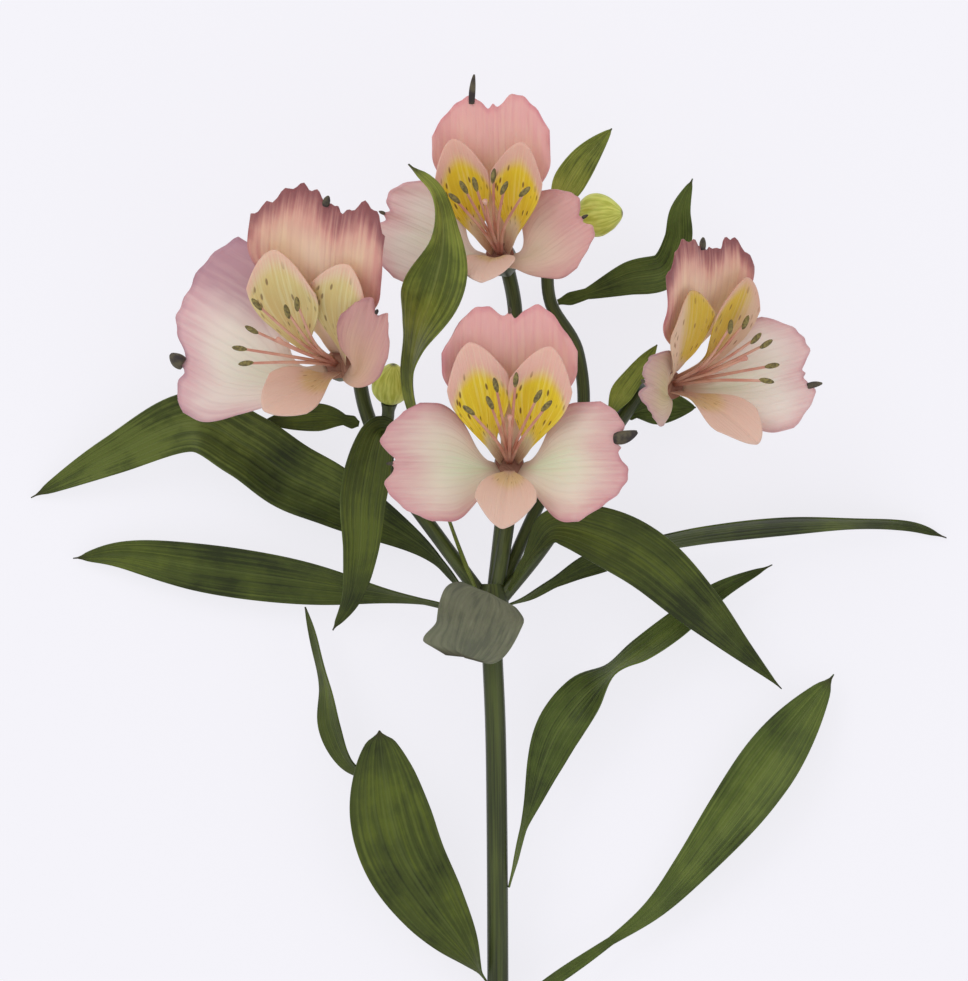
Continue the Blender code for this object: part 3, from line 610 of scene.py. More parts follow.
def petal_base(name, roughness):
    """What every petal finish starts from: its places, clouds, streaks, veins and relief."""
    made, shader, add = new_material(name, roughness, specular_ior_level=0.25, subsurface_weight=0.15,
                                     sheen_weight=0.1, subsurface_radius=(1.0, 0.5, 0.4),
                                     subsurface_scale=0.0015)
    uv = add("own UV")
    across = add("split", uv)
    edge = add("times", add("distance", add("minus", across, 0.5)), 2.0)
    place = add("object place")
    cloud = add("noise", place, PETAL_CLOUDS, 4.0)
    streak = add("rise", add("noise", add("stretch", uv, PETAL_STREAKS), 1.0, 3.0), 0.34, 0.66)
    turns = add("plus", add("times", across, 2.0 * math.pi * PETAL_VEINS), add("times", cloud, 2.5))
    veins = add("rise", add("cosine", turns), 0.5, 1.0)
    grain = add("noise", place, PETAL_GRAIN, 2.0)
    height = add("plus", add("times", veins, 0.5), add("times", grain, 0.4))
    height = add("plus", height, add("times", streak, 0.6))
    return SimpleNamespace(made=made, shader=shader, add=add, uv=uv, across=across, edge=edge, cloud=cloud,
                           along=across.node.outputs["Y"], streak=streak, veins=veins, height=height)


def mottle(petal, mask, cloud_share=0.6, streak_share=0.4):
    """A mask whose border is broken up by clouds and by streaks along the petal."""
    add = petal.add
    clouds = add("times", add("minus", petal.cloud, 0.5), cloud_share)
    streaks = add("times", add("minus", petal.streak, 0.5), streak_share)
    border = add("times", mask, add("minus", 1.6, mask))
    return add("capped sum", mask, add("times", add("plus", clouds, streaks), border))


print("petal clouds in mm:", round(1000.0 / PETAL_CLOUDS, 1))

# %% [markdown]
# An outer petal's finish is laid on in the order that the real colours lie over each other: the cream
# body, the green flush, the pink that grows in from the tip and the sides, a darker rim, faint veins, and
# the tan claw at the foot. One function does all nine finishes, because they differ only in these colours
# and in where the pink begins.

# %% Outer petal materials
# The mauve below is painted shade; the browned end and the tan claw are the petal's own colours.
SHADE_MAUVE = "#B08A93"
BROWNED = "#7A4A4C"
CLAW_TAN = "#C3A78C"


def outer_petal_material(name, body, flush, margin, rim, start=0.6, side_start=0.45, strength=0.85,
                         dry=0.0, painted_shade=0.0):
    """Cream petal with a grey-green flush and a pink margin.

    The pink begins at start along the petal and at side_start towards its sides; dry is how much the
    end of the petal has browned, and the last value is how strongly painted shade turns its right side mauve.
    """
    petal = petal_base(name, 0.62)
    add, along, edge = petal.add, petal.along, petal.edge
    tip = add("rise", along, start, 1.02)
    side = add("times", add("rise", edge, side_start, 1.1), add("rise", along, 0.25, 0.6))
    pink = mottle(petal, add("larger", tip, side))
    centre = add("times", add("rise", edge, 0.0, 0.7, 1.0, 0.0), add("rise", along, 0.95, 0.4, 0.0, 1.0))
    colour = add("mix", mottle(petal, centre, 0.4, 0.5), body, flush)
    colour = add("mix", add("times", pink, strength), colour, margin)
    # Painted shade: the right side of the petal's end is laid over with a grey mauve, as if it lay in shade.
    if painted_shade:
        mauve = add("times", add("rise", petal.across, 0.66, 0.86), add("rise", along, 0.35, 0.65))
        colour = add("mix", add("times", mottle(petal, mauve), painted_shade), colour, SHADE_MAUVE)
    side_rim = add("times", add("rise", edge, 0.9, 1.0), add("rise", along, 0.5, 0.75))
    rims = add("larger", add("rise", along, 0.95, 1.0), side_rim)
    rims = add("times", rims, add("rise", petal.cloud, 0.35, 0.65, 0.1, 0.55))
    colour = add("mix", rims, colour, rim)
    veins = add("times", petal.veins, add("times", add("rise", along, 0.1, 0.5), 0.06))
    colour = add("mix", veins, colour, rim)
    if dry:
        brown = mottle(petal, add("rise", along, 0.84, 0.99), 1.4, 0.6)
        colour = add("mix", add("times", brown, dry), colour, BROWNED)
    claw = add("times", add("rise", along, 0.04, 0.34, 1.0, 0.0), 0.75)
    paint(petal.shader, add("mix", claw, colour, CLAW_TAN), petal.height, 0.35, 0.2)
    return petal.made


# All are matt and velvety. What the eye gets from each is in its name.
OUTER_LOOKS = {
    "side": ("rose petal with a pale middle", "#E2D2C0", "#D6DCBC", "#CE9699", "#B8727E", 0.62, 0.55),
    "pale": ("cream petal with a faint rose margin", "#EADCD0", "#DEDCC4", "#D6A8A8", "#B67F88",
             0.72, 0.66, 0.8),
    "top": ("rose petal, pink nearly all over", "#F2D2B4", "#EFD0AE", "#E4A8A6", "#C86F7E",
            0.36, 0.35, 0.92),
    "pink": ("rose petal with a cream foot", "#E4C6B4", "#DCC6AC", "#D29A98", "#B26C76", 0.45, 0.4),
    "shade": ("rose petal in its own shade", "#D8B096", "#CDA684", "#C48E8C", "#A0666E", 0.35, 0.3),
    "ragged": ("rose petal with a browned end", "#F4DAB4", "#F8D9C4", "#C8807E", "#8E4A54",
               0.6, 0.5, 0.95, 0.8),
    # Its mauve lobe is painted shade.
    "grey": ("rose petal with a mauve lobe", "#E8D8CC", "#E0DCC8", "#D0A0A6", "#9A7080",
             0.66, 0.6, 0.85, 0.0, 0.9),
    "olive": ("rose petal, greenish at its foot", "#C9B594", "#BDAE7E", "#C8A3A0", "#9A7080",
              0.55, 0.4, 0.8),
    "back": ("rose petal, outside", "#DFC6BB", "#B9C08C", "#D69CA4", "#B9707E"),
}
outer_skins = {key: outer_petal_material(*look) for key, look in OUTER_LOOKS.items()}
print("outer petal materials:", len(outer_skins))

# %% [markdown]
# The inner petals guide an insect in: a yellow fan with dark dashes in lines, and a deep throat. The dashes
# could be drawn one by one. A Voronoi texture, stretched along the petal, scatters them as unevenly as
# nature does, and a second test leaves some of them out.

# %% Inner petal materials
# A cell of 0.9 by 3.7 mm on a petal of 13 by 39 mm holds a dash about 0.5 mm wide and 2 mm long.
DASH_CELLS = (14.0, 10.5, 1.0)
DEEP_YELLOW = "#C4932A"
THROAT_BROWN = "#B07A5C"


def inner_petal_material(name, body, yellow, tip_pink, dash_colour, fan, dash_strength=0.88, lean=None):
    """Cream petal with a yellow fan, red-brown dashes and a pink tip.

    The fan is where the yellow lies along the petal, and lean two places across it from none to full.
    """
    petal = petal_base(name, 0.58)
    add, along = petal.add, petal.along
    low, high = fan
    zone = add("times", add("rise", along, low - 0.14, low + 0.02),
               add("rise", along, high - 0.02, high + 0.16, 1.0, 0.0))
    if lean:
        zone = add("times", zone, add("rise", petal.across, *lean))
    zone = mottle(petal, zone, 0.7, 0.6)
    colour = add("mix", zone, body, yellow)
    pink = mottle(petal, add("rise", along, high - 0.02, high + 0.14), 0.5, 0.7)
    colour = add("mix", add("times", pink, 0.92), colour, tip_pink)
    deeper = add("times", zone, add("times", petal.streak, 0.3))
    colour = add("mix", deeper, colour, DEEP_YELLOW)
    throat = add("rise", along, 0.05, 0.38, 1.0, 0.0)
    throat = add("times", throat, add("rise", petal.streak, 0.1, 0.9, 0.45, 0.8))
    colour = add("mix", throat, colour, THROAT_BROWN)
    dash_middle = add("spots", add("stretch", petal.uv, DASH_CELLS), 1.0, 0.8)
    dash = add("rise", dash_middle, 0.2, 0.36, 1.0, 0.0)
    dash = add("times", dash, add("rise", add("red", dash_middle.node.outputs["Color"]), 0.28, 0.4))
    span = add("times", add("rise", along, 0.28, 0.42), add("rise", along, high, high + 0.14, 1.0, 0.0))
    dash = add("times", dash, add("times", span, add("rise", petal.edge, 0.85, 1.0, 1.0, 0.0)))
    colour = add("mix", add("times", dash, dash_strength), colour, dash_colour)
    paint(petal.shader, colour, petal.height, 0.35, 0.2)
    return petal.made


# Matt and a little smoother than the outer petals.
INNER_LOOKS = {
    "strong": ("streaked inner petal, deep yellow", "#E8DCB4", "#F4D92C", "#E8B2A4", "#5E3A1C", (0.4, 0.76)),
    "bright": ("streaked inner petal, high yellow", "#E6D2AE", "#F0D22C", "#E4AE9E", "#6A4020", (0.46, 0.8)),
    "west": ("streaked inner petal, yellow on its right", "#D6B598", "#CFB038", "#D9A890", "#7A4A22",
             (0.44, 0.96), 0.7, (0.2, 0.6)),
    "east": ("streaked inner petal, yellow on its left", "#D6B598", "#CFB038", "#D9A898", "#7A4A22",
             (0.44, 0.9), 0.7, (0.85, 0.4)),
    "pale": ("streaked inner petal, pale yellow", "#E6D8B2", "#DECF90", "#E6B8A2", "#6E5330",
             (0.3, 0.86), 0.75),
    "soft": ("brown-pink lower inner petal", "#DDBFA4", "#D9BE92", "#DDB9A8", "#8A5A40", (0.34, 0.5), 0.5),
    "back": ("inner petal, outside", "#DDD0AE", "#D6C37C", "#DDAEA8", "#9C7A55", (0.45, 0.75), 0.4),
}
inner_skins = {key: inner_petal_material(*look) for key, look in INNER_LOOKS.items()}
# Dead dry tissue: matt and nearly black, with brown flecks of 2.4 mm, 420 of them to a metre.
DRY_FLECKS = 420.0
tip_skin, tip_shader, add = new_material("dried brown petal point", 0.7)
paint(tip_shader, two_tone(add, add("noise", add("object place"), DRY_FLECKS, 3.0), "#2B2320", "#57503A"))
print("inner petal materials:", len(inner_skins))

# %% [markdown]
# ## Petals
# An open flower has three broad outer petals, each a narrow claw that widens into a notched heart, and
# three narrow inner ones. A petal could be sculpted; here its middle line bends outwards step by step and
# the grid's rows are laid across it, so that one formula makes all 24. The rows are closer together near
# the middle, where the notch and the green point need them.

# %% Petal and flower values
# Millimetres: how far from the flower's axis the petals of each whorl start and how far above its base,
# and half the width of an inner petal at its foot.
OUTER_ROOT = 2.9
INNER_ROOT = 1.75
GAP = 0.3
CLAW_HALF_WIDTH = 1.15
PETAL_THICKNESS = 0.3
# Cells of the grid. The notched end needs a fine one.
PETAL_ACROSS = 48
PETAL_ALONG = 40
OUTER = "outer"
INNER = "inner"
# A petal: its whorl, the angle where it starts and where its blade points (0 is up the flower, 90 to
# its right), its lean from the axis at the root and at the tip, its length and its width.
PETALS = {
    "outer_top": (OUTER, 0, 0, 20, 66, 44, 31),
    "outer_left": (OUTER, -120, -95, 15, 84, 40, 28),
    "outer_right": (OUTER, 120, 95, 15, 84, 39, 28),
    "inner_left": (INNER, -60, -19, 17, 53, 40, 12.5),
    "inner_right": (INNER, 60, 19, 17, 53, 40, 12.5),
    "inner_low": (INNER, 180, 186, 10, 60, 35, 14),
}
# Each flower: where its petals start, the way that it looks out, which way is up on it, its size, and
# the petals in which it differs from the list above.
FLOWERS = {
    "front": {"base": (3.3, 309.9, 25.0), "axis": (0.0, 0.21, 0.98), "up": (0.0, 1.0, 0.0), "size": 1.0,
        "seed": 11, "petals": {"outer_right": (OUTER, 120, 94, 15, 84, 36.5, 28),
        "inner_left": (INNER, -60, -14, 17, 56, 39, 14.5),
        "inner_right": (INNER, 60, 15, 17, 51, 39, 14.5)}},
    "top": {"base": (1.2, 358.6, 19.0), "axis": (-0.14, 0.26, 0.955), "up": (0.0, 1.0, 0.0), "size": 0.95,
        "seed": 23, "petals": {"outer_top": (OUTER, 0, 3, 20, 67, 44, 29),
        "outer_left": (OUTER, -120, -72, 20, 84, 37, 26), "outer_right": (OUTER, 120, 64, 31, 73, 31.5, 22),
        "inner_left": (INNER, -60, -12, 17, 53, 37, 13), "inner_right": (INNER, 60, 16, 17, 49, 37, 13),
        "inner_low": (INNER, 180, 180, 6, 46, 32, 14)}},
    "left": {"base": (-36.5, 333.0, 22.0), "axis": (-0.3, 0.05, 0.95), "up": (0.05, 1.0, 0.0), "size": 1.1,
        "seed": 37, "stamen_turn": -50, "petals": {"outer_top": (OUTER, 0, 17, 17, 66, 52, 31),
        "outer_left": (OUTER, -120, -63, 38, 90, 36.5, 32.5),
        "outer_right": (OUTER, 120, 41, 26, 46, 42, 13.5), "inner_low": (INNER, 180, 225, 8, 54, 26, 12),
        "inner_left": (INNER, -60, 1, 15, 52, 40, 15.5), "inner_right": (INNER, 60, 27, 16, 50, 40, 15)}},
    "right": {"base": (41.2, 328.4, 22.0), "axis": (0.5, 0.1, 0.86), "up": (-0.22, 1.0, 0.0), "size": 0.95,
        "seed": 41, "stamen_turn": 60, "petals": {"outer_top": (OUTER, 0, -12, 20, 62, 49, 28),
        "outer_left": (OUTER, -120, -68, 26, 68, 28, 18), "outer_right": (OUTER, 120, 86, 15, 78, 35.5, 28),
        "inner_left": (INNER, -60, -17, 17, 52, 40, 13.5), "inner_right": (INNER, 60, 4, 17, 50, 40, 13),
        "inner_low": (INNER, 180, 166, 10, 56, 32, 13)}},
}
# Petals whose end has a form of its own: where it is notched, how far its corners fall back, how much
# higher its right corner stands, and how far its right side bulges in mm.
ENDS = {
    ("left", "outer_left"): (-0.45, 0.2, 0.1, 6.0),
    ("left", "outer_top"): (0.22, 0.17, 0.08, 0.0),
    ("top", "outer_left"): (0.1, 0.28, 0.0, 0.0),
    ("front", "outer_right"): (-0.25, 0.26, -0.05, 0.0),
    ("right", "outer_right"): (0.15, 0.28, 0.0, 0.0),
    ("right", "outer_top"): (0.1, 0.2, -0.08, 0.0),
    ("top", "outer_top"): (0.0, 0.24, 0.03, 0.0),
}
PLAIN_END = (0.0, 0.28, 0.0, 0.0)
print("flowers:", len(FLOWERS), "petals each:", len(PETALS))

# %% [markdown]
# A petal's middle line leaves the flower's foot steeply and leans out further at each step, and it may
# swing sideways, which is how the petals of one flower come to point in six directions. A curve object
# would need its handles set for each of the 24 petals. Five numbers and one short loop do it here.

# %% Petal line and widths
LINE_STEPS = 64


def outer_half_width(t, width):
    """An outer petal: a narrow claw that opens into a broad round blade."""
    claw = 1.9 + 1.2 * t
    return claw + (0.5 * width - claw) * smoothstep(t, 0.12, 0.62)


def inner_half_width(t, width):
    """An inner petal: a long claw and a spoon-shaped blade."""
    claw = CLAW_HALF_WIDTH + 1.0 * t
    return claw + (0.5 * width - claw) * smoothstep(t, 0.2, 0.72)


def petal_line(whorl, root_angle, blade_angle, root_lean, tip_lean, length):
    """The middle line of a petal in the flower's frame, with its directions at each step."""
    root = OUTER_ROOT if whorl == OUTER else INNER_ROOT
    place = Vector((math.sin(math.radians(root_angle)), math.cos(math.radians(root_angle)), 0.0)) * root
    place.z = GAP
    line = []
    for step in range(LINE_STEPS + 1):
        t = step / LINE_STEPS
        angle = math.radians(root_angle + (blade_angle - root_angle) * smoothstep(t, 0.0, 0.45))
        lean = math.radians(root_lean + (tip_lean - root_lean) * t)
        outward = Vector((math.sin(angle), math.cos(angle), 0.0))
        along = outward * math.sin(lean) + UP * math.cos(lean)
        side = Vector((math.cos(angle), -math.sin(angle), 0.0))
        line.append((place.copy(), along, side))
        place = place + along * (length / LINE_STEPS)
    return line


def flower_turn(spec):
    """The turn and shift from a flower's frame, in mm: +Z along its axis and +Y up the picture."""
    axis = Vector(spec["axis"]).normalized()
    up = square_to(Vector(spec["up"]), axis)
    turn = Matrix((up.cross(axis), up, axis)).transposed().to_4x4()
    return Matrix.Translation(Vector(spec["base"])) @ turn


print("steps in a petal's line:", LINE_STEPS)

# %% [markdown]
# An outer petal ends in a shallow notch with a small point in it, its margin ripples, and its surface is
# a shallow bowl with a groove down the middle. Sculpting this would take long for 24 petals, and no two
# brush strokes would agree with the solids. Each feature is one term of a sum instead. The columns of the
# grid are drawn closer together at the notch, since its narrow point needs them.

# %% Petal shape
# How deep the notch is cut as a share of the length, how wide as a share of half the width, and the same
# for the small point in it.
NOTCH = (0.12, 0.26)
NOTCH_POINT = (0.04, 0.05)
COLUMNS_DRAWN_IN = 1.25
# Millimetres: how deep the bowl of each whorl, the wave of its margin, the ripple and the groove are.
BOWLS = {OUTER: (1.8, 0.2, 0.7), INNER: (1.2, 0.1, 0.6)}
MARGIN_WAVE = 0.6
RIPPLE = 0.4
GROOVE = 0.25


def petal_end(x, v, form, phase, ragged):
    """Where a column of an outer petal lies across it, and how much of the petal's length it has."""
    notch, fall, skew, _ = form
    span = 1.0 - notch if x > notch else -1.0 - notch
    u = notch + span * ((x - notch) / span) ** COLUMNS_DRAWN_IN
    end = 1.0 - fall * abs(u) ** 2.5 + skew * u
    end -= NOTCH[0] * math.exp(-(((u - notch) / NOTCH[1]) ** 2))
    end += NOTCH_POINT[0] * math.exp(-(((u - notch) / NOTCH_POINT[1]) ** 2)) * smoothstep(v, 0.9, 1.0)
    waves = math.sin(27.0 * u + phase) + 0.6 * math.sin(11.0 * u + 3.0 * phase)
    return u, end + ragged * waves * smoothstep(v, 0.7, 1.0)


def petal_surface(spec, size, phase, turn, form, ragged):
    """The formula of a petal's middle layer, already turned into its flower's place.

    The form is the four values of the petal's end, and ragged is how deep its end waves.
    """
    whorl, root_angle, blade_angle, root_lean, tip_lean, length, width = spec
    length = length * size
    width = width * size
    bulge = form[3]
    line = petal_line(whorl, root_angle, blade_angle, root_lean, tip_lean, length)
    half_width = outer_half_width if whorl == OUTER else inner_half_width
    bowl, bowl_start, bowl_end = BOWLS[whorl]

    def surface(x, v):
        if whorl == OUTER:
            u, end = petal_end(x, v, form, phase, ragged)
        else:
            u, end = x, 1.0 - 0.25 * abs(x) ** 1.8
        t = v * end
        exact = t * (len(line) - 1)
        index = min(int(exact), len(line) - 2)
        before, after = line[index], line[index + 1]
        place, along, side = [a.lerp(b, exact - index) for a, b in zip(before, after)]
        normal = side.cross(along)
        half = half_width(t, width)
        lift = bowl * smoothstep(t, bowl_start, bowl_end) * u * u
        lift += MARGIN_WAVE * abs(u) ** 3 * smoothstep(t, 0.4, 0.8) * math.sin(9.0 * t + phase + u)
        if whorl == OUTER:
            ripple = math.sin(11.0 * u + 2.0 * phase) + 0.5 * math.sin(26.0 * (t + u) + phase)
            lift += RIPPLE * max(abs(u), v) ** 6 * ripple * smoothstep(t, 0.35, 0.7)
        groove = -GROOVE * math.exp(-((u / 0.12) ** 2)) * smoothstep(t, 0.1, 0.4)
        bulged = u * half + bulge * smoothstep(u, 0.1, 1.0) * smoothstep(t, 0.4, 0.75)
        return turn @ (place + side * bulged + normal * (lift + groove))

    return surface


print("petal cells:", PETAL_ACROSS * PETAL_ALONG)

# %% [markdown]
# In the notch stands a small point that dries first, green at the start and dark brown later. It could be
# pulled out of the sheet, but the sheet is thin there and would crumple. A short tapering pipe that starts
# inside the petal and carries on along it is cleaner.

# %% Dried points
POINT_RINGS = 15
POINT_SIDES = 10
# Shares of the petal's length and of half its width, between which its direction is measured.
NEAR_END = 0.96
BESIDE = 0.05


def petal_point(name, surface, stand, length, radius, bend):
    """The small dried point at a petal's end: a tapering pipe that carries on from the petal."""
    start = surface(stand, NEAR_END)
    end = surface(stand, 1.0)
    along = (end - start).normalized()
    side = (surface(stand + BESIDE, NEAR_END) - surface(stand - BESIDE, NEAR_END)).normalized()
    steps = [ring / (POINT_RINGS - 1.0) for ring in range(POINT_RINGS)]
    path = [end + along * (length * (t - 0.25)) + side * (bend * t * t) for t in steps]

    def radius_at(v, _angle):
        return radius * (0.25 + 0.75 * math.sin(math.pi * min(1.0, 0.25 + 0.75 * v)) ** 0.8)

    return roll_pipe(name, path, radius_at, POINT_SIDES, tip_skin)


print("faces round a dried point:", POINT_SIDES)

# %% [markdown]
# ## Stamens
# Six pink threads with long pollen heads and one style stand in the middle of each flower. A thread is
# smooth and a little translucent. A pollen head is dull and dusty: its grains are far too fine to show,
# so a bump of 0.7 mm stands in for them and gives the eye the rough look.

# %% Stamen materials
# Patches of 6 mm on a thread and lumps of 0.7 mm on a pollen head, as numbers to a metre.
THREAD_PATCHES = 160.0
POLLEN_LUMPS = 1500.0

thread_material, shader, add = new_material("pink stamen thread", 0.5, subsurface_weight=0.1)
paint(shader, two_tone(add, add("noise", add("object place"), THREAD_PATCHES), "#D9A58F", "#C98574"))
head_material, shader, add = new_material("olive pollen head", 0.8)
pollen = add("noise", add("object place"), POLLEN_LUMPS, 3.0)
paint(shader, two_tone(add, pollen, "#5C5230", "#8A7D46"), pollen, 0.6, 0.2)
print("stamen materials: 2")

# %% [markdown]
# Each thread bends outwards as it rises, and no two are alike, so its angle, reach and height are drawn
# from the flower's own seeded random numbers. The threads are thin pipes, and each head is a stretched
# sphere with a waist, which is what a split pollen sac looks like. They are joined in one object with two
# materials, because the frame holds them as one piece.

# %% Stamen shape
THREADS = 6
# Degrees between threads, and how far each may stray.
THREAD_SPREAD = 21.0
THREAD_STRAY = 5.0
# Millimetres: how far out the threads and the style reach and how high they stand, before the flower's size.
THREAD_REACH = (9.0, 13.5)
THREAD_HEIGHT = (27.0, 29.0)
STYLE_REACH = 5.0
STYLE_HEIGHT = 28.0
HEAD_LENGTH = 3.6
HEAD_RADIUS = 0.75


def pollen_head(name, centre, direction):
    """A stretched sphere with a waist down each side, centred on a thread's end."""
    head = new_primitive("uv_sphere", name, segments=12, ring_count=8, radius=1.0)
    turn = direction.to_track_quat("Z", "X").to_matrix()
    for point in head.data.vertices:
        x, y, z = point.co
        groove = 1.0 - 0.3 * math.exp(-((x / 0.3) ** 2))
        shape = Vector((x * HEAD_RADIUS * 1.05, y * HEAD_RADIUS * groove, z * 0.5 * HEAD_LENGTH))
        point.co = (centre + turn @ shape) * MM
    head.data.materials.append(head_material)
    return head


def make_stamens(key, size, rng, turn, middle_turn):
    """Threads, pollen heads and style of one flower, with the same random draws as the solids."""
    pieces = []
    for index in range(THREADS + 1):
        is_style = index == THREADS
        angle, reach, height = 0.0, STYLE_REACH, STYLE_HEIGHT
        if not is_style:
            angle = (index - 0.5 * (THREADS - 1)) * THREAD_SPREAD + rng.uniform(-THREAD_STRAY, THREAD_STRAY)
            reach = rng.uniform(*THREAD_REACH)
            height = rng.uniform(*THREAD_HEIGHT)
        reach *= size
        height *= size
        angle = math.radians(angle + middle_turn)
        outward = Vector((math.sin(angle), math.cos(angle), 0.0))
        root = outward * 0.35 + UP * (GAP + 0.4)
        middle = outward * (reach * 0.32) + UP * (height * 0.55)
        end = outward * reach + UP * height
        path = [turn @ Vector(point) for point in smooth_path([root, middle, end], 14)]

        def radius_at(v, _angle, style=is_style):
            thick = 0.46 - 0.16 * v
            return thick + (0.35 * smoothstep(v, 0.94, 1.0) if style else 0.0)

        pieces.append(roll_pipe(f"{key}_thread_{index}", path, radius_at, 8, thread_material))
        if not is_style:
            direction = (turn.to_3x3() @ (outward + UP * 0.4).normalized()).normalized()
            pieces.append(pollen_head(f"{key}_head_{index}", turn @ end, direction))
    stamens = join_pieces(f"{key}_stamens_look", pieces)
    stamens.data.shade_smooth()
    declare(stamens, f"{key}_stamens")


print("threads in a flower:", THREADS)

# %% [markdown]
# Four flowers with six petals each are made in one loop. Copies of one flower would look copied, because
# in the photo each is turned, opened and faded in its own way. So the tables say which finish a petal has
# where it isn't the usual one, and how its dried point stands.

# %% Make the flowers
USUAL_SKINS = {"outer_top": "top", "outer_left": "side", "outer_right": "side"}
INNER_SKINS = {"front": "strong", "top": "bright", "left": "pale"}
SKINS = {("left", "outer_top"): "ragged", ("left", "outer_right"): "shade", ("left", "outer_left"): "grey",
         ("right", "outer_left"): "olive", ("right", "outer_right"): "pale", ("top", "outer_left"): "pale",
         ("right", "outer_top"): "ragged", ("top", "outer_right"): "pink", ("right", "inner_left"): "west",
         ("right", "inner_right"): "east"}
# The dried points: length, radius and sideways bend in mm, and where across the petal they stand.
POINTS = {("left", "outer_left"): (3.2, 1.8, 0.8, -0.47), ("left", "outer_top"): (2.6, 0.9, 0.3, -0.05),
          ("top", "outer_top"): (7.0, 0.8, 0.5, -0.42), ("front", "outer_right"): (4.4, 1.6, -1.8, -0.45),
          ("right", "outer_right"): (3.6, 0.8, 0.4, 0.45), ("right", "outer_top"): (3.2, 0.8, 0.3, -0.1)}
PLAIN_POINT = (1.5, 0.45, 0.0)
# How deep the end of a petal waves, as a share of its length.
RAGGED = {("left", "outer_top"): 0.014, ("right", "outer_top"): 0.014}
HARDLY_RAGGED = 0.005


def make_petal(flower, petal, values, size, phase, turn):
    """One petal with its finish, and with its dried point if it is an outer one."""
    place = (flower, petal)
    name = f"{flower}_{petal}"
    form = ENDS.get(place, PLAIN_END)
    surface = petal_surface(values, size, phase, turn, form, RAGGED.get(place, HARDLY_RAGGED))
    if values[0] == OUTER:
        skins = outer_skins
        skin = SKINS.get(place, USUAL_SKINS[petal])
    else:
        skins = inner_skins
        skin = "soft" if petal == "inner_low" else SKINS.get(place) or INNER_SKINS[flower]
    sheet = make_sheet(name, PETAL_ACROSS, PETAL_ALONG, surface, PETAL_THICKNESS, skins[skin], skins["back"])
    if values[0] == OUTER:
        length, radius, bend, stand = POINTS.get(place, (*PLAIN_POINT, form[0]))
        point = petal_point(name + "_point", surface, stand, length, radius, bend)
        sheet = join_pieces(sheet.name, [sheet, point])
    declare(sheet, name)


for key, spec in FLOWERS.items():
    rng = random.Random(spec["seed"])
    turn = flower_turn(spec)
    for petal, values in PETALS.items():
        phase = rng.uniform(0.0, 2.0 * math.pi)
        make_petal(key, petal, spec["petals"].get(petal, values), spec["size"], phase, turn)
    make_stamens(key, spec["size"], rng, turn, spec.get("stamen_turn", 0.0))
    print("flower made:", key)

# %% [markdown]
# ## Stalk finish
# The stalk is a little waxy and dark green, with painted shade at its sides and a painted highlight where
# it faces up, and fine lengthwise streaks. Its cut end is pale and moist, and the top of each pod is
# brown-pink. A wood or stone texture
# would run across it. A noise that is stretched along the UV map runs lengthwise, as the fibres do.

# %% Stalk material
# Streaks 0.6 mm wide and 45 mm long on a stalk 16 mm round. Real ones of 0.2 mm are too fine to show.
STALK_STREAKS = (26.0, 9.0, 1.0)
# Clouds of 26 mm, as a number to a metre.
STALK_CLOUDS = 38.0


def streaked_material(name, roughness, scale, detail, **sockets):
    """A material with a noise stretched along the UV map, and the place across and along it."""
    made, shader, add = new_material(name, roughness, subsurface_scale=0.001, **sockets)
    uv = add("own UV")
    streaks = add("noise", add("stretch", uv, scale), 1.0, detail)
    across = add("split", uv)
    return made, shader, add, streaks, across, across.node.outputs["Y"]


def stalk_material(name, deep, light, roughness):
    """A green stalk with a painted highlight on the side that faces up and painted shade at its sides, and
    fine lengthwise streaks.
    """
    made, shader, add, streaks, across, _ = streaked_material(
        name, roughness, STALK_STREAKS, 4.0, specular_ior_level=0.4, subsurface_weight=0.05)
    clouds = add("noise", add("object place"), STALK_CLOUDS, 2.0)
    mixed = add("plus", add("times", streaks, 0.6), add("times", clouds, 0.4))
    # Painted light: on all three stalk finishes the top is made lighter and the sides darker, as the light
    # falls on them.
    painted_top_light = add("rise", add("distance", add("minus", across, 0.5)), 0.03, 0.2, 1.0, 0.15)
    shade = add("times", add("rise", mixed, 0.34, 0.62), painted_top_light)
    paint(shader, add("mix", shade, deep, light), streaks, 0.4)
    return made


stalk_green = stalk_material("waxy green stalk", "#262E0D", "#4C5620", 0.45)
cut_green = stalk_material("freshly cut stalk end", "#9FA86B", "#C6CB95", 0.5)
throat_skin = stalk_material("brown-pink petal foot", "#8A5A48", "#B98A72", 0.6)
print("stalk materials: 3")

# %% [markdown]
# ## Stalk, rays and pods
# The stalk carries five thinner stalks and the six-ribbed seed pods under the flowers. A curve with a
# bevel would be the quick way, but it has no ribs. So each is a rolled grid whose radius swells and dips
# with the angle. All of them start at one swelling, whose place and sizes are written down first.

# %% Stalk values
# Millimetres, like all the values of this cell apart from the slope and the scars' turns in degrees.
CUT_Y = -8.0
CUT_SLOPE = 0.5
FLAT_Y = (-5.0, 30.0)
STALK_RADIUS = 2.6
STALK_TOP_RADIUS = 2.35
STALK_SIDES = 10
# The stalk rests on a flat, as low as the middle of a side of the solid's ten-sided pipe.
STALK_LEVEL = STALK_RADIUS * math.cos(math.pi / STALK_SIDES)
SWELLING = (-0.7, 276.0, 15.0)
SWELLING_RADIUS = 4.0
SCAR_YS = (52.0, 97.0, 141.0)
SCAR_TURNS = (70.0, -60.0, 30.0)
RAY_RADIUS = 1.7
POD_LENGTH = 9.0
POD_RADIUS = 3.6
POD_TOP_RADIUS = 3.3
RAYS = {
    "front": [SWELLING, (1.5, 287.0, 14.0), (3.2, 299.0, 11.0)],
    "top": [SWELLING, (2.0, 300.0, 10.0), (4.5, 328.0, 8.0), (4.8, 345.0, 7.0)],
    "left": [SWELLING, (-12.8, 292.3, 14.0), (-24.0, 308.0, 12.0), (-30.0, 322.0, 10.0)],
    "right": [SWELLING, (12.3, 292.3, 14.0), (24.0, 312.0, 12.0), (30.5, 322.0, 10.6)],
}
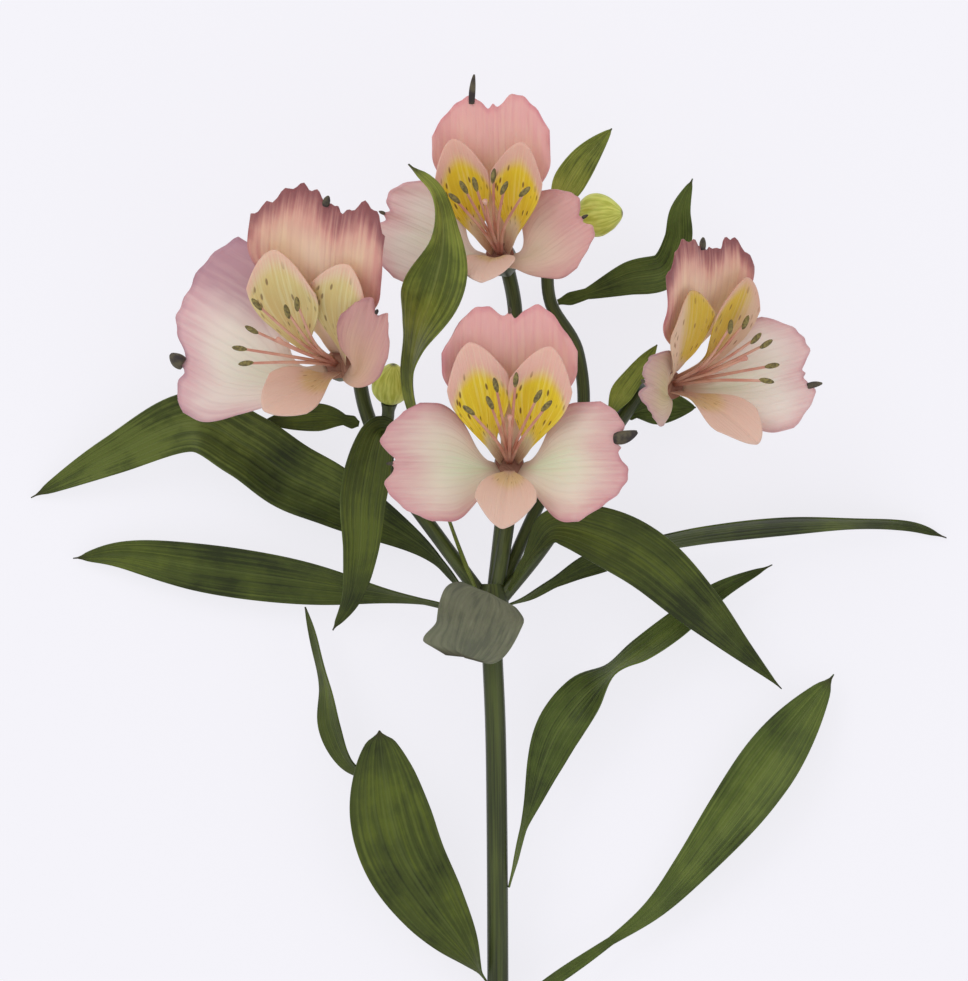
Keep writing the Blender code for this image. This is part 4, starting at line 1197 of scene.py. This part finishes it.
BUDS = {
    "bud_right": {"base": (19.3, 367.6, 16.0), "axis": (0.97, 0.08, 0.22), "length": 10.8, "radius": 5.0},
    "bud_left": {"base": (-24.6, 324.6, 17.0), "axis": (0.1, 0.85, 0.5), "length": 10.0, "radius": 4.4},
}
BUD_STALKS = {
    "bud_right": [SWELLING, (10.0, 300.0, 7.0), (20.0, 318.0, 6.0), (19.5, 336.0, 7.5), (13.0, 348.0, 9.0),
                  (12.6, 360.0, 12.0)],
    "bud_left": [(-24.0, 308.0, 12.0), (-26.2, 314.0, 13.5)],
}
AROUND = 30
print("rays:", len(RAYS))

# %% [markdown]
# The main stalk rises a little from its cut end to the flowers. A loft along a curve could make it, but its
# foot has to lie flat and its end is cut at a slant. So the pipe's radius is held back on its underside
# there, and the points near the cut are slid along.

# %% Main stalk
RISE = [(0.0, FLAT_Y[1], STALK_LEVEL), (0.5, 100.0, 5.2), (0.7, 180.0, 9.2), (0.3, 240.0, 12.8),
        (-0.7, 268.0, 14.6)]
# The swelling at the stalk's top: how high up the stalk, and the radius there.
TOP_RADII = [(268.0, STALK_TOP_RADIUS), (271.5, 3.2), (275.0, SWELLING_RADIUS),
             (279.0, SWELLING_RADIUS - 0.4), (282.0, 2.4)]
RISE_RINGS = 110
FLAT_RINGS = 18
TOP_RINGS = 15
RIB_DEPTH = 0.035
RIBS = 9.0
TAPER_LENGTH = 238.0
CUT_REACH = 6.0


def make_stalk():
    """The main stalk, flat where it rests, with its soft ribs and the swelling at its top."""
    flat = np.linspace(CUT_Y, FLAT_Y[1], FLAT_RINGS)[:-1]
    path = [Vector((0.0, y, STALK_LEVEL)) for y in flat]
    path += [Vector(point) for point in smooth_path(RISE, RISE_RINGS)]
    thinner = STALK_TOP_RADIUS - STALK_RADIUS
    radii = [STALK_RADIUS + thinner * max(0.0, (point.y - FLAT_Y[1]) / TAPER_LENGTH) for point in path]
    for y, radius, _ in smooth_path([(*pair, 0.0) for pair in TOP_RADII], TOP_RINGS)[1:]:
        path.append(Vector((SWELLING[0], y, SWELLING[2])))
        radii.append(radius)

    def radius_at(v, angle):
        ring = round(v * (len(path) - 1))
        radius = radii[ring] * (1.0 + RIB_DEPTH * math.cos(RIBS * angle))
        down = math.cos(angle)
        if path[ring].y <= FLAT_Y[1] + 4.0 and down > 0.0:
            radius = min(radius, STALK_LEVEL / down)
        return radius

    stalk = roll_pipe("stalk", path, radius_at, AROUND, stalk_green)
    for point in stalk.data.vertices:
        near_cut = max(0.0, 1.0 - (point.co.y / MM - CUT_Y) / CUT_REACH)
        point.co.y += CUT_SLOPE * near_cut * point.co.z
    stalk.data.materials.append(cut_green)
    for polygon in stalk.data.polygons:
        if len(polygon.vertices) > 4 and polygon.center.y < 0.0:
            polygon.material_index = 1
    return stalk


stem = make_stalk()
print("rings of the stalk:", FLAT_RINGS - 1 + RISE_RINGS + TOP_RINGS - 1)

# %% [markdown]
# A ray ends in the pod of its flower, which has six ribs, and a bud's stalk ends under the bud. Where a
# lower leaf was taken off, the stalk keeps a low ridge. All of them are the same rolled pipe with other
# radii along it.

# %% Rays, bud stalks and scars
# A pod: how far below the flower each ring is, and its radius.
POD_RINGS = [(14.0, RAY_RADIUS), (POD_LENGTH, RAY_RADIUS + 0.2), (7.6, 3.0), (5.2, POD_RADIUS),
             (2.4, POD_RADIUS), (0.0, POD_TOP_RADIUS)]
# A scar: how far along the stalk each knot is, and how far out from its middle line.
SCAR_KNOTS = [(-2.0, 1.3), (0.0, 1.9), (1.2, 2.1), (2.0, 1.2)]
STALK_LIFT = 0.038
RAY_STEPS = 90
BUD_STALK_STEPS = 70


def make_ray(key):
    """A flower stalk that swells into its ribbed seed pod."""
    base = Vector(FLOWERS[key]["base"])
    axis = Vector(FLOWERS[key]["axis"]).normalized()
    stalk = [(*point, RAY_RADIUS) for point in RAYS[key]]
    pod = [(*(base - axis * distance), radius) for distance, radius in POD_RINGS]
    path = smooth_path([*stalk, *pod], RAY_STEPS)

    def radius_at(v, angle):
        radius = path[round(v * (RAY_STEPS - 1))][3]
        on_pod = smoothstep(radius, RAY_RADIUS + 0.3, 3.0)
        return radius * (1.0 + 0.05 * on_pod * math.cos(6.0 * angle) + 0.02 * math.cos(8.0 * angle))

    ray = roll_pipe("ray_" + key, path, radius_at, AROUND, stalk_green)
    ray.data.materials.append(throat_skin)
    for polygon in ray.data.polygons:
        if (base - polygon.center / MM).dot(axis) < 0.4:
            polygon.material_index = 1
    return ray


def make_bud_stalk(key):
    """The stalk that carries a bud, a little wider where the bud sits."""
    axis = Vector(BUDS[key]["axis"]).normalized()
    base = Vector(BUDS[key]["base"])
    thin = RAY_RADIUS - 0.2
    knots = [(*point, thin) for point in BUD_STALKS[key]]
    ends = [(5.0, thin), (2.5, thin), (GAP, RAY_RADIUS + 0.3)]
    knots += [(*(base - axis * distance), radius) for distance, radius in ends]
    path = smooth_path(knots, BUD_STALK_STEPS)
    return roll_pipe("stalk_" + key, path, lambda v, _: path[round(v * (BUD_STALK_STEPS - 1))][3], 20,
                     stalk_green)


def make_scar(y, turn):
    """The low ridge that a stripped leaf leaves on the stalk."""
    angle = math.radians(turn)
    out = Vector((math.sin(angle), 0.0, math.cos(angle)))
    centre = Vector((0.4, y, STALK_LEVEL + (y - FLAT_Y[1]) * STALK_LIFT))
    path = smooth_path([centre + Vector((0.0, along, 0.0)) + out * height for along, height in SCAR_KNOTS], 9)
    return roll_pipe("scar", path, lambda v, _: 0.7 + 0.5 * math.sin(math.pi * v), 16, cut_green)


parts = [make_scar(y, turn) for y, turn in zip(SCAR_YS, SCAR_TURNS)]
parts += [make_ray(key) for key in RAYS]
parts += [make_bud_stalk(key) for key in BUD_STALKS]
print("pieces to fuse with the stalk:", len(parts))

# %% [markdown]
# In life the rays grow out of the stalk without a seam. Pipes that only touch would show one, and joining
# them would leave hidden faces inside. A Boolean union fuses them into one closed body, as the solid is.

# %% Fuse the stalk
SHARP_ANGLE = 50.0

group = bpy.data.collections.new("stalk_parts")
bpy.context.scene.collection.children.link(group)
for part in parts:
    for collection in list(part.users_collection):
        collection.objects.unlink(part)
    group.objects.link(part)
union = stem.modifiers.new("union", "BOOLEAN")
union.operation = "UNION"
union.operand_type = "COLLECTION"
union.collection = group
union.solver = "EXACT"
union.material_mode = "TRANSFER"
apply_modifiers(stem)
for part in list(group.objects):
    bpy.data.objects.remove(part, do_unlink=True)
bpy.data.collections.remove(group)
stem.name = "stem_look"
stem.data.shade_smooth()
stem.data.set_sharp_from_angle(angle=math.radians(SHARP_ANGLE))
declare(stem, "stem")
print("stem faces:", len(stem.data.polygons))

# %% [markdown]
# ## Bud finish
# The skin of a bud is smooth, yellow-green and a little translucent, greener at its foot and dark at its
# tip. A plain gradient would look like plastic, so streaks along the bud break it up.

# %% Bud material
# Streaks 0.8 mm wide and 2.7 mm long on a bud 31 mm round and 11 mm long.
BUD_STREAKS = (40.0, 4.0, 1.0)

bud_skin, shader, add, streaks, _, along = streaked_material("yellow-green bud skin", 0.45, BUD_STREAKS, 3.0,
                                                             subsurface_weight=0.12)
colour = two_tone(add, streaks, "#B4BA42", "#D4D866")
colour = add("mix", add("rise", along, 0.3, 0.0), colour, "#6F7A34")
colour = add("mix", add("rise", along, 0.86, 0.97), colour, "#4B4A28")
paint(shader, colour, streaks, 0.3)
print("bud material ready")

# %% [markdown]
# ## Buds
# A closed bud is an egg of three wrapped outer petals. A sphere is stretched along the bud's axis, its
# radius dips at the three seams, and the seams wind a little, as the petals overlap like the panels of a
# folded umbrella. Three separate petals would be truer, but their inner halves would never be seen.

# %% Make the buds
# Along the bud, from 0 at its foot to 1 at its tip, and its width there.
BUD_PROFILE = [(0.0, 0.42), (0.1, 0.72), (0.28, 0.97), (0.5, 1.0), (0.72, 0.8), (0.88, 0.48),
               (0.97, 0.22), (1.0, 0.0)]
SEAM_DEPTH = 0.10
SEAM_WIDTH = 0.06
SEAM_WIND = 0.7
LOBE_DEPTH = 0.05
# Nearer to the foot than this share of the length, the bud closes to a point.
CLOSED_BELOW = 0.0004


def make_bud(key):
    """A sphere stretched into a bud with three winding seams."""
    spec = BUDS[key]
    axis = Vector(spec["axis"]).normalized()
    base = Vector(spec["base"])
    first = square_to(steady_guide(axis), axis)
    second = axis.cross(first)
    profile = smooth_path([(*pair, 0.0) for pair in BUD_PROFILE], 60)
    bud = new_primitive("uv_sphere", key + "_look", segments=60, ring_count=40, radius=1.0)
    for point in bud.data.vertices:
        along = 0.5 * (1.0 - math.cos(math.acos(max(-1.0, min(1.0, -point.co.z)))))
        angle = math.atan2(point.co.y, point.co.x)
        width = float(np.interp(along, profile[:, 0], profile[:, 1])) if along >= CLOSED_BELOW else 0.0
        seam = (1.5 * (angle + SEAM_WIND * along) / math.pi) % 1.0
        dip = SEAM_DEPTH * math.exp(-((min(seam, 1.0 - seam) / SEAM_WIDTH) ** 2))
        swell = math.sin(math.pi * along)
        ridge = 1.0 - dip * swell - LOBE_DEPTH * math.cos(3.0 * angle) * swell
        radius = spec["radius"] * width * ridge
        flat = first * math.cos(angle) + second * math.sin(angle)
        point.co = (base + axis * (spec["length"] * along) + flat * radius) * MM
    bud.data.materials.append(bud_skin)
    bpy.ops.object.mode_set(mode="EDIT")
    bpy.ops.mesh.select_all(action="SELECT")
    bpy.ops.mesh.normals_make_consistent(inside=False)
    bpy.ops.object.mode_set(mode="OBJECT")
    bud.data.shade_smooth()
    declare(bud, key)


for key in BUDS:
    make_bud(key)
print("buds:", len(BUDS))
